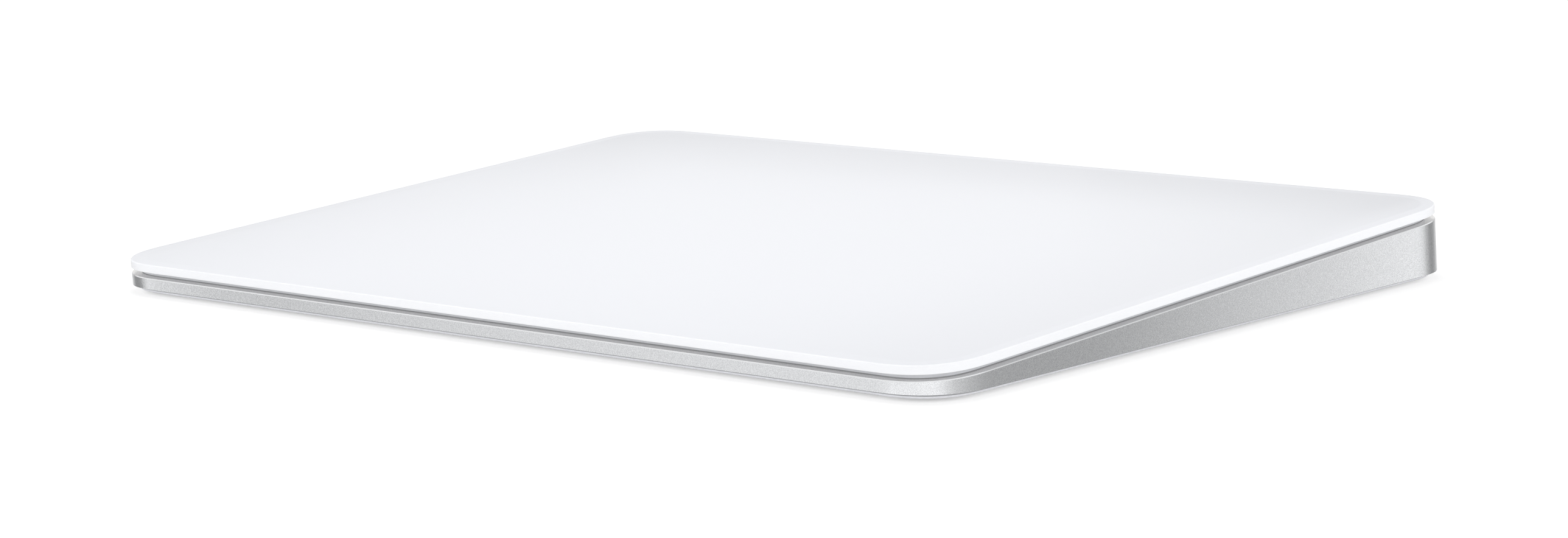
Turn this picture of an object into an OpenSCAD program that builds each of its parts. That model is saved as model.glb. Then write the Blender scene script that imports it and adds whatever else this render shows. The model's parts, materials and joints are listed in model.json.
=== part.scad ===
// Wedge-shaped desktop trackpad: a glass touch plate that floats on four force beams
// over an aluminium frame, with its battery, boards, haptic engine, charge port and switch.
// The frame stands on its feet at z = 0, with the thin edge at the front (-Y).

/* [Touch plate] */
// Width of the glass and of the frame under it
plate_w = 160; // [152:0.5:176]
// Depth of the glass, measured along its slope
plate_d = 114.5; // [112:0.5:126]
// Corner radius of the glass and of the frame
plate_r = 8.7; // [7.5:0.1:11]
// Thickness of the glass
glass_t = 1.2; // [1:0.05:1.4]
// Polished chamfer on the upper edge of the glass
glass_edge = 0.15; // [0.05:0.01:0.3]
// Thickness of the adhesive film under the glass
bond_t = 0.1; // [0.05:0.01:0.15]
// Thickness of the touch sensor board
sensor_t = 0.6; // [0.5:0.05:0.7]
// Thickness of the stiffening plate
stiffener_t = 0.4; // [0.3:0.05:0.5]
// Side clearance between the stiffening plate and the frame wall
stiffener_clear = 1.2; // [1:0.1:2]
// How far the carrier ring sits in from the edge of the glass
carrier_inset = 1.5; // [1:0.1:2]
// Width of the carrier ring
carrier_wide = 2.3; // [1.8:0.1:2.8]
// Gap between the carrier ring and the sensor board inside it
carrier_fit = 0.1; // [0.05:0.01:0.2]
// Width and depth of each touch controller chip
touch_chip_w = 7; // [5:0.5:9]
// Thickness of a touch controller chip
touch_chip_t = 0.7; // [0.5:0.05:0.9]
// Distance between the touch controller chips
touch_chip_pitch = 22; // [14:1:30]
// How far behind the middle of the plate the touch controller chips sit
touch_chip_y = 24; // [18:1:28]
// Free rim around a chip, socket or pad in the stiffening plate
window_gap = 0.5; // [0.3:0.05:1]

/* [Wedge frame] */
// Height of the front edge of the glass above the desk
front_h = 4.9; // [4.8:0.05:6]
// Height of the back edge of the glass above the desk
back_h = 10.9; // [10.3:0.1:13]
// Height of the seam between the glass and the frame rim
seam_h = 0.85; // [0.75:0.05:1]
// Wall of the frame
wall_t = 3; // [2.6:0.1:3.4]
// Floor of the frame
floor_t = 0.6; // [0.55:0.05:0.75]
// Bright chamfer on the outer edge of the rim
rim_edge = 0.12; // [0.05:0.01:0.3]

/* [Base] */
// Thickness of the base plate
base_t = 0.6; // [0.5:0.02:0.8]
// How far the base plate sits in from the foot of the wall
base_inset = 1.15; // [0.8:0.05:2]
// Chamfer on the lower edge of the base plate
base_edge = 0.2; // [0.1:0.05:0.3]
// Thickness of the adhesive film over the base plate
base_film_t = 0.1; // [0.05:0.01:0.15]
// How far the adhesive film sits in from the edge of the base plate
base_film_inset = 2; // [1:0.1:4]
// Diameter of a foot
foot_d = 10; // [7:0.5:14]
// How far a foot stands out of the base plate
foot_proud = 0.5; // [0.3:0.02:0.6]
// How deep a foot is set into the base plate
foot_recess = 0.25; // [0.15:0.05:0.35]
// Side clearance of a foot in its recess
foot_fit = 0.1; // [0.05:0.01:0.2]
// How far the middle of a foot sits in from the sides of the plate
foot_in = 14; // [10:0.5:20]

/* [Motion] */
// How far the plate sinks under a press
press_travel = 0.15; // [0.08:0.01:0.18]
// Air left under the carrier ring at full press
press_air = 0.05; // [0.03:0.01:0.1]
// How far the plate shifts sideways each way
shift_travel = 0.1; // [0.05:0.01:0.15]
// How far the power knob slides
knob_travel = 2.4; // [1.8:0.1:3]

/* [Fasteners] */
// Diameter of a screw's shank
screw_d = 1.4; // [1.2:0.05:1.6]
// Diameter of a screw's head
screw_head_d = 2.6; // [2.2:0.1:2.9]
// Height of a screw's head
screw_head_h = 0.45; // [0.35:0.05:0.5]
// Radial clearance of a shank in its hole
screw_fit = 0.04; // [0.02:0.01:0.08]
// How far a screw reaches into the frame
screw_bite = 0.9; // [0.7:0.05:1]
// Floor left under the haptic engine's screws
screw_skin = 0.2; // [0.15:0.05:0.3]
// Distance from the middle of a screw to the edge of what it holds
screw_edge = 2.4; // [2.1:0.1:2.6]

/* [Force beams] */
// Length of a beam
beam_l = 20; // [18:0.5:24]
// Width of a beam at its foot and tip
beam_w = 8; // [7:0.5:10]
// Thickness of a beam
beam_t = 0.4; // [0.3:0.05:0.5]
// Length of the foot that is screwed down
beam_foot = 8; // [6.5:0.5:9]
// Length of the tip that carries the plate
beam_tip = 6; // [5.5:0.5:7]
// Width of the bending neck
neck_w = 4.6; // [3.5:0.1:6]
// Gap between the end of a beam and the frame wall
beam_gap = 0.3; // [0.2:0.05:0.6]
// Distance from the front or back wall to a beam
beam_edge = 8; // [7:0.5:11]
// Distance between the two screws of a beam
beam_screw_pitch = 4.8; // [4:0.1:5]
// Diameter of a gel pad and of the load button under it
gel_d = 5; // [4:0.1:5.4]
// Thickness of a gel pad
gel_t = 0.3; // [0.2:0.05:0.4]
// Thickness of a load button's head
button_t = 0.2; // [0.15:0.05:0.3]
// Diameter of a load button's stem
stem_d = 1.6; // [1.2:0.1:2]
// Length of a strain gauge
gauge_l = 3.6; // [2.5:0.1:4.5]
// Width of a strain gauge
gauge_w = 2.4; // [1.5:0.1:3]
// Thickness of a strain gauge and of its flexible tail
gauge_t = 0.08; // [0.05:0.01:0.12]
// How far a gauge tail reaches out beside its beam
tail_out = 1.5; // [1:0.1:2.5]
// How far a gauge tail lies along the sensor board
tail_in = 2.5; // [1.5:0.1:4]

/* [Haptic engine] */
// Width of the armature between the two yokes
arm_w = 6; // [5:0.5:8]
// Length of the armature
arm_l = 27; // [26:0.5:30]
// Thickness of an armature ear
ear_t = 0.4; // [0.3:0.05:0.6]
// Width of an armature ear
ear_w = 10; // [8.5:0.5:12]
// Length of an armature ear
ear_l = 3.4; // [3:0.1:3.5]
// Magnetic gap left beside the armature at full shift
arm_air = 0.2; // [0.15:0.01:0.3]
// Thickness of a yoke
yoke_t = 1; // [0.8:0.05:1.1]
// Length of a yoke tooth
tooth_l = 6; // [5:0.5:7]
// Width of a yoke tooth
tooth_w = 4; // [3:0.1:4.5]
// Distance between yoke teeth
tooth_pitch = 8; // [7.6:0.1:8.4]
// Width of the bar that joins the teeth
bar_w = 3; // [2:0.1:4]
// Winding on each side of a tooth
coil_side = 0.9; // [0.6:0.05:1.1]
// Winding above and below a tooth
coil_wrap = 0.35; // [0.25:0.05:0.4]
// Clearance between a coil and its tooth
coil_fit = 0.1; // [0.05:0.01:0.15]
// Length of a coil along its tooth
coil_l = 4.4; // [3.5:0.1:4.8]
// Air between a coil and the pressed plate
coil_air = 0.4; // [0.3:0.05:0.45]
// Thickness of the haptic bracket
bracket_t = 0.4; // [0.3:0.05:0.45]
// Length of a screwed ear of the haptic bracket
bracket_ear = 4.5; // [4:0.1:6]
// Clear distance between the haptic engine and the battery
haptic_clear = 1.2; // [0.8:0.1:2]

/* [Battery] */
// Width of the battery cell
battery_w = 112; // [100:1:114]
// Depth of the battery cell
battery_d = 32.4; // [30:0.1:34]
// Thickness of the battery cell
battery_t = 3.2; // [2.6:0.1:3.5]
// Corner radius of the battery cell
battery_r = 2; // [1:0.1:4]
// Middle of the cell, to the right of the middle of its bay
battery_x = 0; // [-2:0.5:2]
// Thickness of the strips that hold the cell down
strip_t = 0.15; // [0.1:0.01:0.25]
// Width of a strip
strip_w = 10; // [6:0.5:16]
// Distance between the two strips
strip_pitch = 70; // [40:1:80]
// Width of the battery's protection board
circuit_w = 4.5; // [3.5:0.1:5]
// Thickness of the protection board
circuit_t = 0.8; // [0.6:0.05:1]
// Gap between the cell and its protection board
circuit_gap = 0.2; // [0.1:0.05:0.4]
// Clear distance between the battery and the logic board
battery_clear = 4.2; // [3.9:0.1:5]

/* [Logic board] */
// Length of the logic board
board_w = 77; // [76:0.5:80]
// Depth of the logic board
board_d = 11.5; // [11:0.1:12.5]
// Thickness of the logic board
board_t = 0.8; // [0.6:0.05:1]
// Left end of the logic board
board_x = -20; // [-21:0.5:-19.5]
// Height of the posts that carry the logic board
post_h = 0.8; // [0.6:0.05:1]
// Diameter of a post
post_d = 3.4; // [3:0.1:4]
// Distance from the battery plug to the middle of the right post
post_in = 4; // [3.2:0.1:5]
// Gap between the logic board and the back wall
board_gap = 0.6; // [0.4:0.05:0.9]
// Thickness of the flexible cables
flex_t = 0.15; // [0.1:0.01:0.2]
// Width of the sensor cable
flex_w = 11; // [8:0.5:11.5]
// Middle of the sensor cable, to the right of the port
flex_x = -12; // [-12.5:0.1:-11.5]
// Straight run of the sensor cable out of its sockets
flex_run = 1.6; // [1.2:0.1:2]
// Gap between a cable that turns up and the edge it passes
flex_gap = 0.5; // [0.3:0.05:0.6]
// How far a cable lies along a board before its plug
flex_lap = 2; // [1.5:0.1:2.4]
// Width of the haptic cable
coil_flex_w = 4; // [3:0.1:4.5]
// Width of the battery cable
cell_flex_w = 3.6; // [3:0.1:4]
// Height of a cable socket or plug
socket_h = 1.2; // [1:0.05:1.4]
// Depth of a cable socket
socket_d = 3.4; // [2.8:0.1:3.6]
// How much wider a socket is than its cable, on each side
socket_side = 0.5; // [0.3:0.05:0.7]
// Distance from the front edge of the board to the sensor cable's socket
socket_in = 3.6; // [3.4:0.1:4]
// Distance from the front edge of the board to the haptic cable
coil_plug_in = 6.4; // [6:0.1:6.8]
// Distance from the front edge of the board to the battery plug
cell_plug_in = 1.2; // [0.8:0.1:2]
// Width and depth of the main processor
processor_w = 5.4; // [4.5:0.1:5.8]
// Width and depth of the charger chip
charger_w = 4; // [3:0.1:4.5]
// Gap between chips, and from them to the edge of the board
chip_gap = 0.8; // [0.5:0.05:1.2]
// Thickness of the larger chips
chip_t = 0.9; // [0.6:0.05:1.2]
// Height of the radio shield
shield_h = 1.4; // [1.2:0.1:2]
// Sheet of the radio shield
shield_t = 0.2; // [0.15:0.01:0.3]
// Length of the antenna holder
antenna_l = 30; // [24:0.5:32]
// Depth of the antenna holder
antenna_d = 8; // [7:0.1:9]
// Wall of the antenna holder
antenna_wall = 1.5; // [1:0.1:2]
// Width of the antenna track
antenna_track = 2; // [1.5:0.1:2.5]
// Gap between the antenna holder and the logic board
antenna_gap = 1; // [0.5:0.1:1.5]

/* [Charge port] */
// Outer width of the port shell
port_w = 8.94; // [8.6:0.02:9.4]
// Outer height of the port shell
port_h = 3.2; // [3:0.02:3.4]
// Length of the port shell
port_l = 7.3; // [6.8:0.1:7.4]
// Sheet of the port shell
port_t = 0.3; // [0.2:0.01:0.35]
// How far the mouth sits behind the face of the wall
port_recess = 0.25; // [0.2:0.05:0.5]
// Gap between the port shell and the frame
port_fit = 0.12; // [0.08:0.01:0.2]
// Width of the tongue in the port
tongue_w = 6.7; // [6.2:0.05:6.8]
// Thickness of the tongue
tongue_t = 0.7; // [0.6:0.02:0.8]
// How far the end of the tongue sits inside the mouth
tongue_in = 0.6; // [0.4:0.05:1]
// Depth of the free space around the tongue
port_deep = 5.2; // [4.6:0.1:5.4]
// Number of contacts on each face of the tongue
contact_count = 12; // [8:2:12]
// Distance between contacts
contact_pitch = 0.5; // [0.45:0.01:0.54]
// Thickness of a contact
contact_t = 0.05; // [0.03:0.01:0.08]
// Sheet of the clamp over the port
clamp_t = 0.4; // [0.3:0.05:0.5]
// Depth of the clamp
clamp_d = 3; // [2.8:0.1:3.4]
// Length of a clamp ear
clamp_ear = 4.2; // [3.6:0.1:5]
// Distance from the back end of the port to the clamp
clamp_in = 0.5; // [0.2:0.05:0.7]

/* [Power switch] */
// Middle of the switch slot to the right of the port
switch_x = 34; // [32:0.5:36]
// Height of the slot in the wall
slot_h = 2.4; // [2:0.1:2.6]
// Length of the knob's grip
grip_l = 4.6; // [4:0.1:5]
// Gap around the grip in the slot
grip_fit = 0.1; // [0.06:0.01:0.15]
// Gap at the ends of the grip's travel
grip_end = 0.2; // [0.1:0.05:0.3]
// How far the grip sits behind the face of the wall
grip_recess = 0.15; // [0.1:0.05:0.4]
// Number of grooves in the grip
groove_count = 3; // [1:1:4]
// Width and depth of a groove
groove_w = 0.3; // [0.2:0.02:0.36]
// Thickness of the flange behind the wall
flange_t = 0.6; // [0.4:0.05:0.8]
// How far the flange covers the wall around the slot
flange_cover = 0.5; // [0.4:0.05:0.8]
// Running gap between the flange and the wall
flange_gap = 0.12; // [0.1:0.01:0.2]
// Thickness of the coloured marker on the flange
marker_t = 0.05; // [0.03:0.01:0.06]
// Sheet of the bracket that guides the knob
guide_t = 0.4; // [0.3:0.05:0.5]
// Length of each screwed leg of that bracket
guide_leg = 3.2; // [3:0.1:3.6]
// Width of the switch lever
lever_w = 1.2; // [0.8:0.1:1.6]
// Height of the switch lever
lever_h = 1; // [0.8:0.1:1.2]
// Width of each prong that holds the lever
prong_w = 0.8; // [0.6:0.1:1]
// Length of each prong
prong_l = 2.2; // [1.8:0.1:2.4]
// Clearance between the lever and its neighbours
lever_fit = 0.1; // [0.05:0.01:0.15]
// Free length of the lever between the prongs and the switch
lever_free = 0.5; // [0.3:0.05:0.7]
// End clearance of the knob's flange in its guide
guide_room = 0.3; // [0.2:0.05:0.5]
// Length of the switch on the board
switch_body_l = 9; // [8:0.1:10]
// Depth of the switch on the board
switch_body_d = 2.8; // [2.2:0.1:3.2]
// Cover of the switch above its lever
switch_cover = 0.2; // [0.1:0.05:0.4]

/* [Hidden] */
$fn = 64;

// Overlap that fuses two shapes of one piece, and the reach of cutting shapes
weld = 0.1;
far = 400;
sides = [-1, 1];

// Slope of the glass, and the heights that the frame sets
tilt = asin((back_h - front_h) / plate_d);
mid_h = (front_h + back_h) / 2;
base_z = foot_proud;
film_z = base_z + base_t;
frame_z = film_z + base_film_t;
floor_z = frame_z + floor_t;
deck_y = -(back_h - frame_z) * tan(tilt) / 2;

// Depths below the glass, measured square to it
press_gap = press_travel + press_air;
rim_dep = glass_t + seam_h;
sensor_dep = glass_t + bond_t;
stiffener_dep = sensor_dep + sensor_t;
gel_dep = stiffener_dep + stiffener_t;
button_dep = gel_dep + gel_t;
beam_dep = button_dep + button_t;
boss_dep = beam_dep + beam_t;
yoke_dep = gel_dep + press_travel + coil_air + coil_wrap + coil_fit;
bracket_dep = yoke_dep + yoke_t;
pad_dep = bracket_dep + bracket_t;
shell_len = (back_h - frame_z) / cos(tilt);

// Height and place of a point y along the glass and dep below it
function depth_at(y, z) = (mid_h + y * sin(tilt) - z) / cos(tilt);
function deck_z(y, dep) = mid_h + y * sin(tilt) - dep * cos(tilt);
function level_y(y, dep) = deck_y + y * cos(tilt) + dep * sin(tilt);

// Inside of the frame and the places of the beams
cavity_x = plate_w / 2 - wall_t;
cavity_y = plate_d / 2 - wall_t;
beam_x = cavity_x - beam_gap;
beam_y = cavity_y - beam_edge - beam_w / 2;
foot_screw_x = beam_x - beam_foot / 2;
button_x = beam_x - beam_l + beam_tip / 2;
neck_x = beam_x - beam_foot - (beam_l - beam_foot - beam_tip) / 2;
stem_hole_d = stem_d + 2 * screw_fit;

// Lane for the haptic cable beside the right bosses, and the battery's bay to the left of it
lane_x = beam_x - beam_foot - 2 * flex_gap - coil_flex_w;
cell_x = (lane_x - cavity_x) / 2 + battery_x;

// The base plate follows the level outline that the frame's foot has
base_w = plate_w - 2 * base_inset;
base_d = plate_d / cos(tilt) - 2 * base_inset;
base_r = plate_r - base_inset;
base_y = level_y(0, depth_at(0, frame_z));

// Logic board, charge port and the row of pieces in front of them
board_z = floor_z + post_h;
board_top = board_z + board_t;
port_z = board_top + port_h / 2;
port_y = level_y(plate_d / 2, depth_at(plate_d / 2, port_z)) - port_recess;
board_y1 = level_y(cavity_y, depth_at(cavity_y, board_top)) - board_gap;
board_y0 = board_y1 - board_d;
battery_y1 = board_y0 - battery_clear;
battery_y0 = battery_y1 - battery_d;
cell_z = floor_z + strip_t;
circuit_x = cell_x + battery_w / 2 + circuit_gap;
cell_plug_x = circuit_x + circuit_w / 2;
cell_plug_y = board_y0 + cell_plug_in;
board_x1 = board_x + board_w;
board_holes = [
  [board_x + screw_edge, board_y1 - screw_edge],
  [cell_plug_x - cell_flex_w / 2 - post_in, board_y0 + screw_edge]
];
clamp_y = port_y - port_l + clamp_in;
clamp_half = port_w / 2 + port_fit + clamp_t;
port_holes = [for (s = sides) [s * (clamp_half + clamp_ear / 2), clamp_y + clamp_d / 2]];

// Antenna to the left of the logic board, clear of the sensor cable's socket
antenna_x = board_x - antenna_gap - antenna_l;
antenna_y = board_y0 + socket_in - antenna_track - chip_gap;

// Haptic engine, in line in front of the battery
haptic_y = (battery_y0 - haptic_clear - arm_l / 2 - deck_y) / cos(tilt) - yoke_dep * tan(tilt);
tooth_x = arm_w / 2 + shift_travel + arm_air;
bar_x = tooth_x + tooth_l;
bracket_x = bar_x + bar_w + bracket_ear;
yoke_half = tooth_pitch + tooth_w / 2;
window_half = tooth_pitch - tooth_w / 4;
arm_bottom = bracket_dep - press_travel - arm_air;
haptic_hole_x = bracket_x - bracket_ear / 2;
haptic_hole_y = yoke_half - screw_edge;
haptic_holes = [for (sx = sides, sy = sides) [sx * haptic_hole_x, sy * haptic_hole_y]];
haptic_bite = deck_z(haptic_y - haptic_hole_y, pad_dep) - frame_z - screw_skin;
arm_holes = [for (sx = sides, sy = sides) [sx * (ear_w / 2 - screw_edge), sy * (arm_l / 2 - ear_l / 2)]];

// Sensor cable between the two boards
socket_w = flex_w + 2 * socket_side;
socket_y = board_y0 + socket_in;
lower_z = board_top + socket_h / 2;
top_socket_y = (socket_y - deck_y) / cos(tilt) - stiffener_dep * tan(tilt);
upper_z = deck_z(top_socket_y, stiffener_dep + socket_h / 2);
loop_r = (upper_z - lower_z) / 2;
loop_y = socket_y - flex_run;

// Power switch, set out from the inner face of the back wall
switch_dep = depth_at(plate_d / 2, port_z);
slot_l = grip_l + knob_travel + 2 * grip_end;
flange_l = grip_l + 2 * (knob_travel + grip_end + flange_cover);
flange_h = slot_h + 2 * flange_cover;
slide_half = (flange_l + knob_travel) / 2;
knob_x = -knob_travel / 2;
flange_y = -flange_gap - flange_t;
guide_y = flange_y - lever_fit;
guide_half = slide_half + guide_room + guide_leg;
fork_half = lever_w / 2 + lever_fit + prong_w;
lever_y = flange_y - prong_l - lever_free;
guide_screw_x = guide_half - guide_leg / 2;
switch_body_y = level_y(cavity_y + lever_y, switch_dep) - lever_fit;
switch_body_h = port_z - board_top + lever_h / 2 + switch_cover;
notch_d = board_y1 - switch_body_y + lever_fit;

// Cables that turn up beside the board and lie over it
riser_x = board_x1 + flex_gap;
coil_plug_x = board_x1 - flex_lap;
coil_plug_y = board_y0 + coil_plug_in;
over_z = board_top + socket_h / 2;
cell_flex_z = cell_z + circuit_t;

// Places a shape in the plane of the glass, dep below its surface
module deck(dep) {
  translate([0, deck_y, mid_h]) rotate([tilt, 0, 0]) translate([0, 0, -dep]) children();
}

// Repeats a shape of the right rear corner in the corner named by the two signs
module corner(sx, sy) {
  mirror([sx < 0 ? 1 : 0, 0, 0]) mirror([0, sy < 0 ? 1 : 0, 0]) children();
}

module rounded(w, d, r) {
  square([w - 2 * r, d], center = true);
  square([w, d - 2 * r], center = true);
  for (sx = sides, sy = sides) translate([sx * (w / 2 - r), sy * (d / 2 - r)]) circle(r);
}

module stadium(l, h) {
  square([l - h, h], center = true);
  for (s = sides) translate([s * (l - h) / 2, 0]) circle(h / 2);
}

// Section through a plate with its upper edges broken by c
module edge_section(w, t, c) {
  polygon([[-w / 2, 0], [w / 2, 0], [w / 2, t - c], [w / 2 - c, t], [c - w / 2, t], [-w / 2, t - c]]);
}

// Plate with round corners and a chamfer all along its upper edge
module edged_plate(w, d, r, t, c) {
  translate([0, d / 2 - r, 0]) rotate([90, 0, 0]) linear_extrude(d - 2 * r) edge_section(w, t, c);
  translate([r - w / 2, 0, 0]) rotate([90, 0, 90]) linear_extrude(w - 2 * r) edge_section(d, t, c);
  for (sx = sides, sy = sides)
    translate([sx * (w / 2 - r), sy * (d / 2 - r), 0])
      rotate([0, 0, sx > 0 ? (sy > 0 ? 0 : 270) : (sy > 0 ? 90 : 180)])
        rotate_extrude(angle = 90) polygon([[0, 0], [r, 0], [r, t - c], [r - c, t], [0, t]]);
}

// Screw with its seat at z = 0, pointing down
module screw(len) {
  translate([0, 0, -len]) cylinder(d = screw_d, h = len);
  difference() {
    cylinder(d = screw_head_d, h = screw_head_h);
    translate([0, 0, screw_head_h / 2]) cylinder(d = screw_d, h = screw_head_h, $fn = 6);
  }
}

// Hole for a screw, from z = 0 down
module screw_hole(len) {
  translate([0, 0, -len]) cylinder(r = screw_d / 2 + screw_fit, h = len + weld);
}

// Keeps what stands on the floor of the frame, with a little overlap into the floor
module on_floor() {
  intersection() {
    children();
    translate([-far / 2, -far / 2, floor_z - weld]) cube(far);
  }
}

module through_wall() {
  rotate([-90, 0, 0]) translate([0, 0, -weld]) linear_extrude(2 * wall_t) children();
}

// Places a shape at the middle of the switch slot, on the inner face of the back wall
module at_switch() {
  deck(switch_dep) translate([switch_x, cavity_y, 0]) children();
}

module frame_shell() {
  difference() {
    deck(shell_len + wall_t) edged_plate(plate_w, plate_d, plate_r, shell_len + wall_t - rim_dep, rim_edge);
    translate([-far / 2, -far / 2, frame_z - far]) cube(far);
    on_floor_cut();
  }
}

module on_floor_cut() {
  intersection() {
    deck(shell_len) linear_extrude(shell_len) rounded(2 * cavity_x, 2 * cavity_y, plate_r - wall_t);
    translate([-far / 2, -far / 2, floor_z]) cube(far);
  }
}

module beam_boss() {
  translate([beam_x - beam_foot, beam_y - beam_w / 2, -shell_len])
    cube([beam_foot + beam_gap + weld, beam_w, shell_len]);
}

module wedge_frame() {
  color("silver") difference() {
    union() {
      frame_shell();
      on_floor() deck(boss_dep) for (sx = sides, sy = sides) corner(sx, sy) beam_boss();
      on_floor() deck(pad_dep) translate([0, haptic_y, -shell_len]) for (p = haptic_holes)
        translate([p.x - screw_edge, p.y - screw_edge, 0]) cube([2 * screw_edge, 2 * screw_edge, shell_len]);
      for (p = concat(board_holes, port_holes))
        translate([p.x, p.y, floor_z - weld]) cylinder(d = post_d, h = post_h + weld);
    }
    deck(boss_dep) for (sx = sides, sy = sides) corner(sx, sy) for (s = sides)
      translate([foot_screw_x, beam_y + s * beam_screw_pitch / 2, 0]) screw_hole(screw_bite + weld);
    deck(pad_dep) translate([0, haptic_y, 0]) for (p = haptic_holes)
      translate([p.x, p.y, 0]) screw_hole(haptic_bite + weld);
    for (p = concat(board_holes, port_holes)) translate([p.x, p.y, board_z]) screw_hole(screw_bite + weld);
    translate([0, port_y - wall_t * 2, port_z]) rotate([-90, 0, 0])
      linear_extrude(wall_t * 4) stadium(port_w + 2 * port_fit, port_h + 2 * port_fit);
    at_switch() through_wall() stadium(slot_l, slot_h);
    at_switch() for (s = sides) translate([s * guide_screw_x, 0, 0]) rotate([90, 0, 0])
      screw_hole(screw_bite + weld);
    translate([antenna_x, antenna_y, frame_z - weld]) antenna_hollow(floor_t + 2 * weld);
  }
}

module base_plate() {
  color("gainsboro") difference() {
    translate([0, base_y, film_z]) mirror([0, 0, 1]) edged_plate(base_w, base_d, base_r, base_t, base_edge);
    for (sx = sides, sy = sides)
      translate([sx * (plate_w / 2 - foot_in), base_y + sy * (plate_d / 2 - foot_in), base_z - weld])
        cylinder(r = foot_d / 2 + foot_fit, h = foot_recess + weld);
  }
}

module base_film() {
  color("dimgray") translate([0, base_y, film_z]) linear_extrude(base_film_t)
    rounded(base_w - 2 * base_film_inset, base_d - 2 * base_film_inset, base_r - base_film_inset);
}

module base_feet() {
  color("lightgray") for (sx = sides, sy = sides)
    translate([sx * (plate_w / 2 - foot_in), base_y + sy * (plate_d / 2 - foot_in), 0])
      cylinder(d = foot_d, h = foot_proud + foot_recess);
}

module touch_glass() {
  color("whitesmoke") deck(glass_t) edged_plate(plate_w, plate_d, plate_r, glass_t, glass_edge);
}

// Outline set in from the edge of the glass
module inset_outline(inset) {
  rounded(plate_w - 2 * inset, plate_d - 2 * inset, plate_r - inset);
}

module glass_bond() {
  color("ivory") deck(sensor_dep) linear_extrude(bond_t)
    inset_outline(carrier_inset + carrier_wide + carrier_fit);
}

module plate_carrier() {
  color("lightsteelblue") deck(rim_dep - press_gap) linear_extrude(seam_h - press_gap) difference() {
    inset_outline(carrier_inset);
    inset_outline(carrier_inset + carrier_wide);
  }
}

module sensor_board() {
  color("darkgreen") deck(stiffener_dep) linear_extrude(sensor_t)
    inset_outline(carrier_inset + carrier_wide + carrier_fit);
}

// Openings over the beams' feet and necks, for their screws, gauges and tails
module beam_notches() {
  notch_x = button_x + gel_d / 2 + shift_travel + window_gap;
  notch_y = beam_y - beam_w / 2 - tail_out - tail_in - window_gap;
  for (sx = sides, sy = sides) corner(sx, sy) translate([notch_x, notch_y]) square([far, far]);
}

module stiffener_windows() {
  for (s = sides) translate([s * touch_chip_pitch / 2, touch_chip_y])
    square(touch_chip_w + 2 * window_gap, center = true);
  translate([flex_x - socket_w / 2 - window_gap, top_socket_y - flex_run])
    square([socket_w + 2 * window_gap, flex_run + socket_d + window_gap]);
}

module plate_stiffener() {
  color("slategray") deck(gel_dep) difference() {
    linear_extrude(stiffener_t) difference() {
      inset_outline(wall_t + stiffener_clear);
      beam_notches();
      stiffener_windows();
    }
    for (p = arm_holes) translate([p.x, haptic_y + p.y, stiffener_t]) screw_hole(stiffener_t + weld);
  }
}

module touch_chips() {
  color("dimgray") deck(stiffener_dep + touch_chip_t) for (s = sides)
    translate([s * touch_chip_pitch / 2 - touch_chip_w / 2, touch_chip_y - touch_chip_w / 2, 0])
      cube([touch_chip_w, touch_chip_w, touch_chip_t]);
}

module sensor_socket() {
  color("black") deck(stiffener_dep + socket_h) translate([flex_x - socket_w / 2, top_socket_y, 0])
    cube([socket_w, socket_d, socket_h]);
}

module armature() {
  color("gray") difference() {
    union() {
      deck(arm_bottom) translate([-arm_w / 2, haptic_y - yoke_half, 0])
        cube([arm_w, 2 * yoke_half, arm_bottom - gel_dep]);
      deck(gel_dep + ear_t) for (s = sides)
        translate([-ear_w / 2, haptic_y + s * (arm_l / 2 - ear_l / 2) - ear_l / 2, 0])
          cube([ear_w, ear_l, ear_t]);
      deck(gel_dep + ear_t) translate([-arm_w / 2, haptic_y - arm_l / 2, 0]) cube([arm_w, arm_l, ear_t]);
    }
    deck(gel_dep) for (p = arm_holes) translate([p.x, haptic_y + p.y, 0]) screw_hole(ear_t + weld);
  }
}

module armature_screws() {
  color("lightgray") deck(gel_dep + ear_t) for (p = arm_holes)
    translate([p.x, haptic_y + p.y, 0]) mirror([0, 0, 1]) screw(ear_t + stiffener_t);
}

module gel_pads() {
  color("orchid") deck(button_dep) for (sx = sides, sy = sides)
    translate([sx * button_x, sy * beam_y, 0]) cylinder(d = gel_d, h = gel_t);
}

module load_buttons() {
  color("lightgray") for (sx = sides, sy = sides) {
    deck(beam_dep) translate([sx * button_x, sy * beam_y, 0]) cylinder(d = gel_d, h = button_t);
    deck(boss_dep) translate([sx * button_x, sy * beam_y, 0]) cylinder(d = stem_d, h = beam_t + weld);
  }
}

module beam_outline() {
  translate([beam_x - beam_foot, beam_y - beam_w / 2]) square([beam_foot, beam_w]);
  translate([beam_x - beam_l, beam_y - beam_w / 2]) square([beam_tip, beam_w]);
  translate([button_x, beam_y - neck_w / 2]) square([foot_screw_x - button_x, neck_w]);
}

module force_beam(sx, sy) {
  color("steelblue") deck(boss_dep) corner(sx, sy) difference() {
    linear_extrude(beam_t) beam_outline();
    translate([button_x, beam_y, -weld]) cylinder(d = stem_hole_d, h = beam_t + 2 * weld);
    for (s = sides) translate([foot_screw_x, beam_y + s * beam_screw_pitch / 2, beam_t])
      screw_hole(beam_t + weld);
  }
}

module force_beam_front_left() {
  force_beam(-1, -1);
}

module force_beam_front_right() {
  force_beam(1, -1);
}

module force_beam_rear_left() {
  force_beam(-1, 1);
}

module force_beam_rear_right() {
  force_beam(1, 1);
}

module strain_gauges() {
  color("goldenrod") deck(beam_dep) for (sx = sides, sy = sides) corner(sx, sy)
    translate([neck_x - gauge_l / 2, beam_y - gauge_w / 2, 0]) cube([gauge_l, gauge_w, gauge_t]);
}

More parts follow.
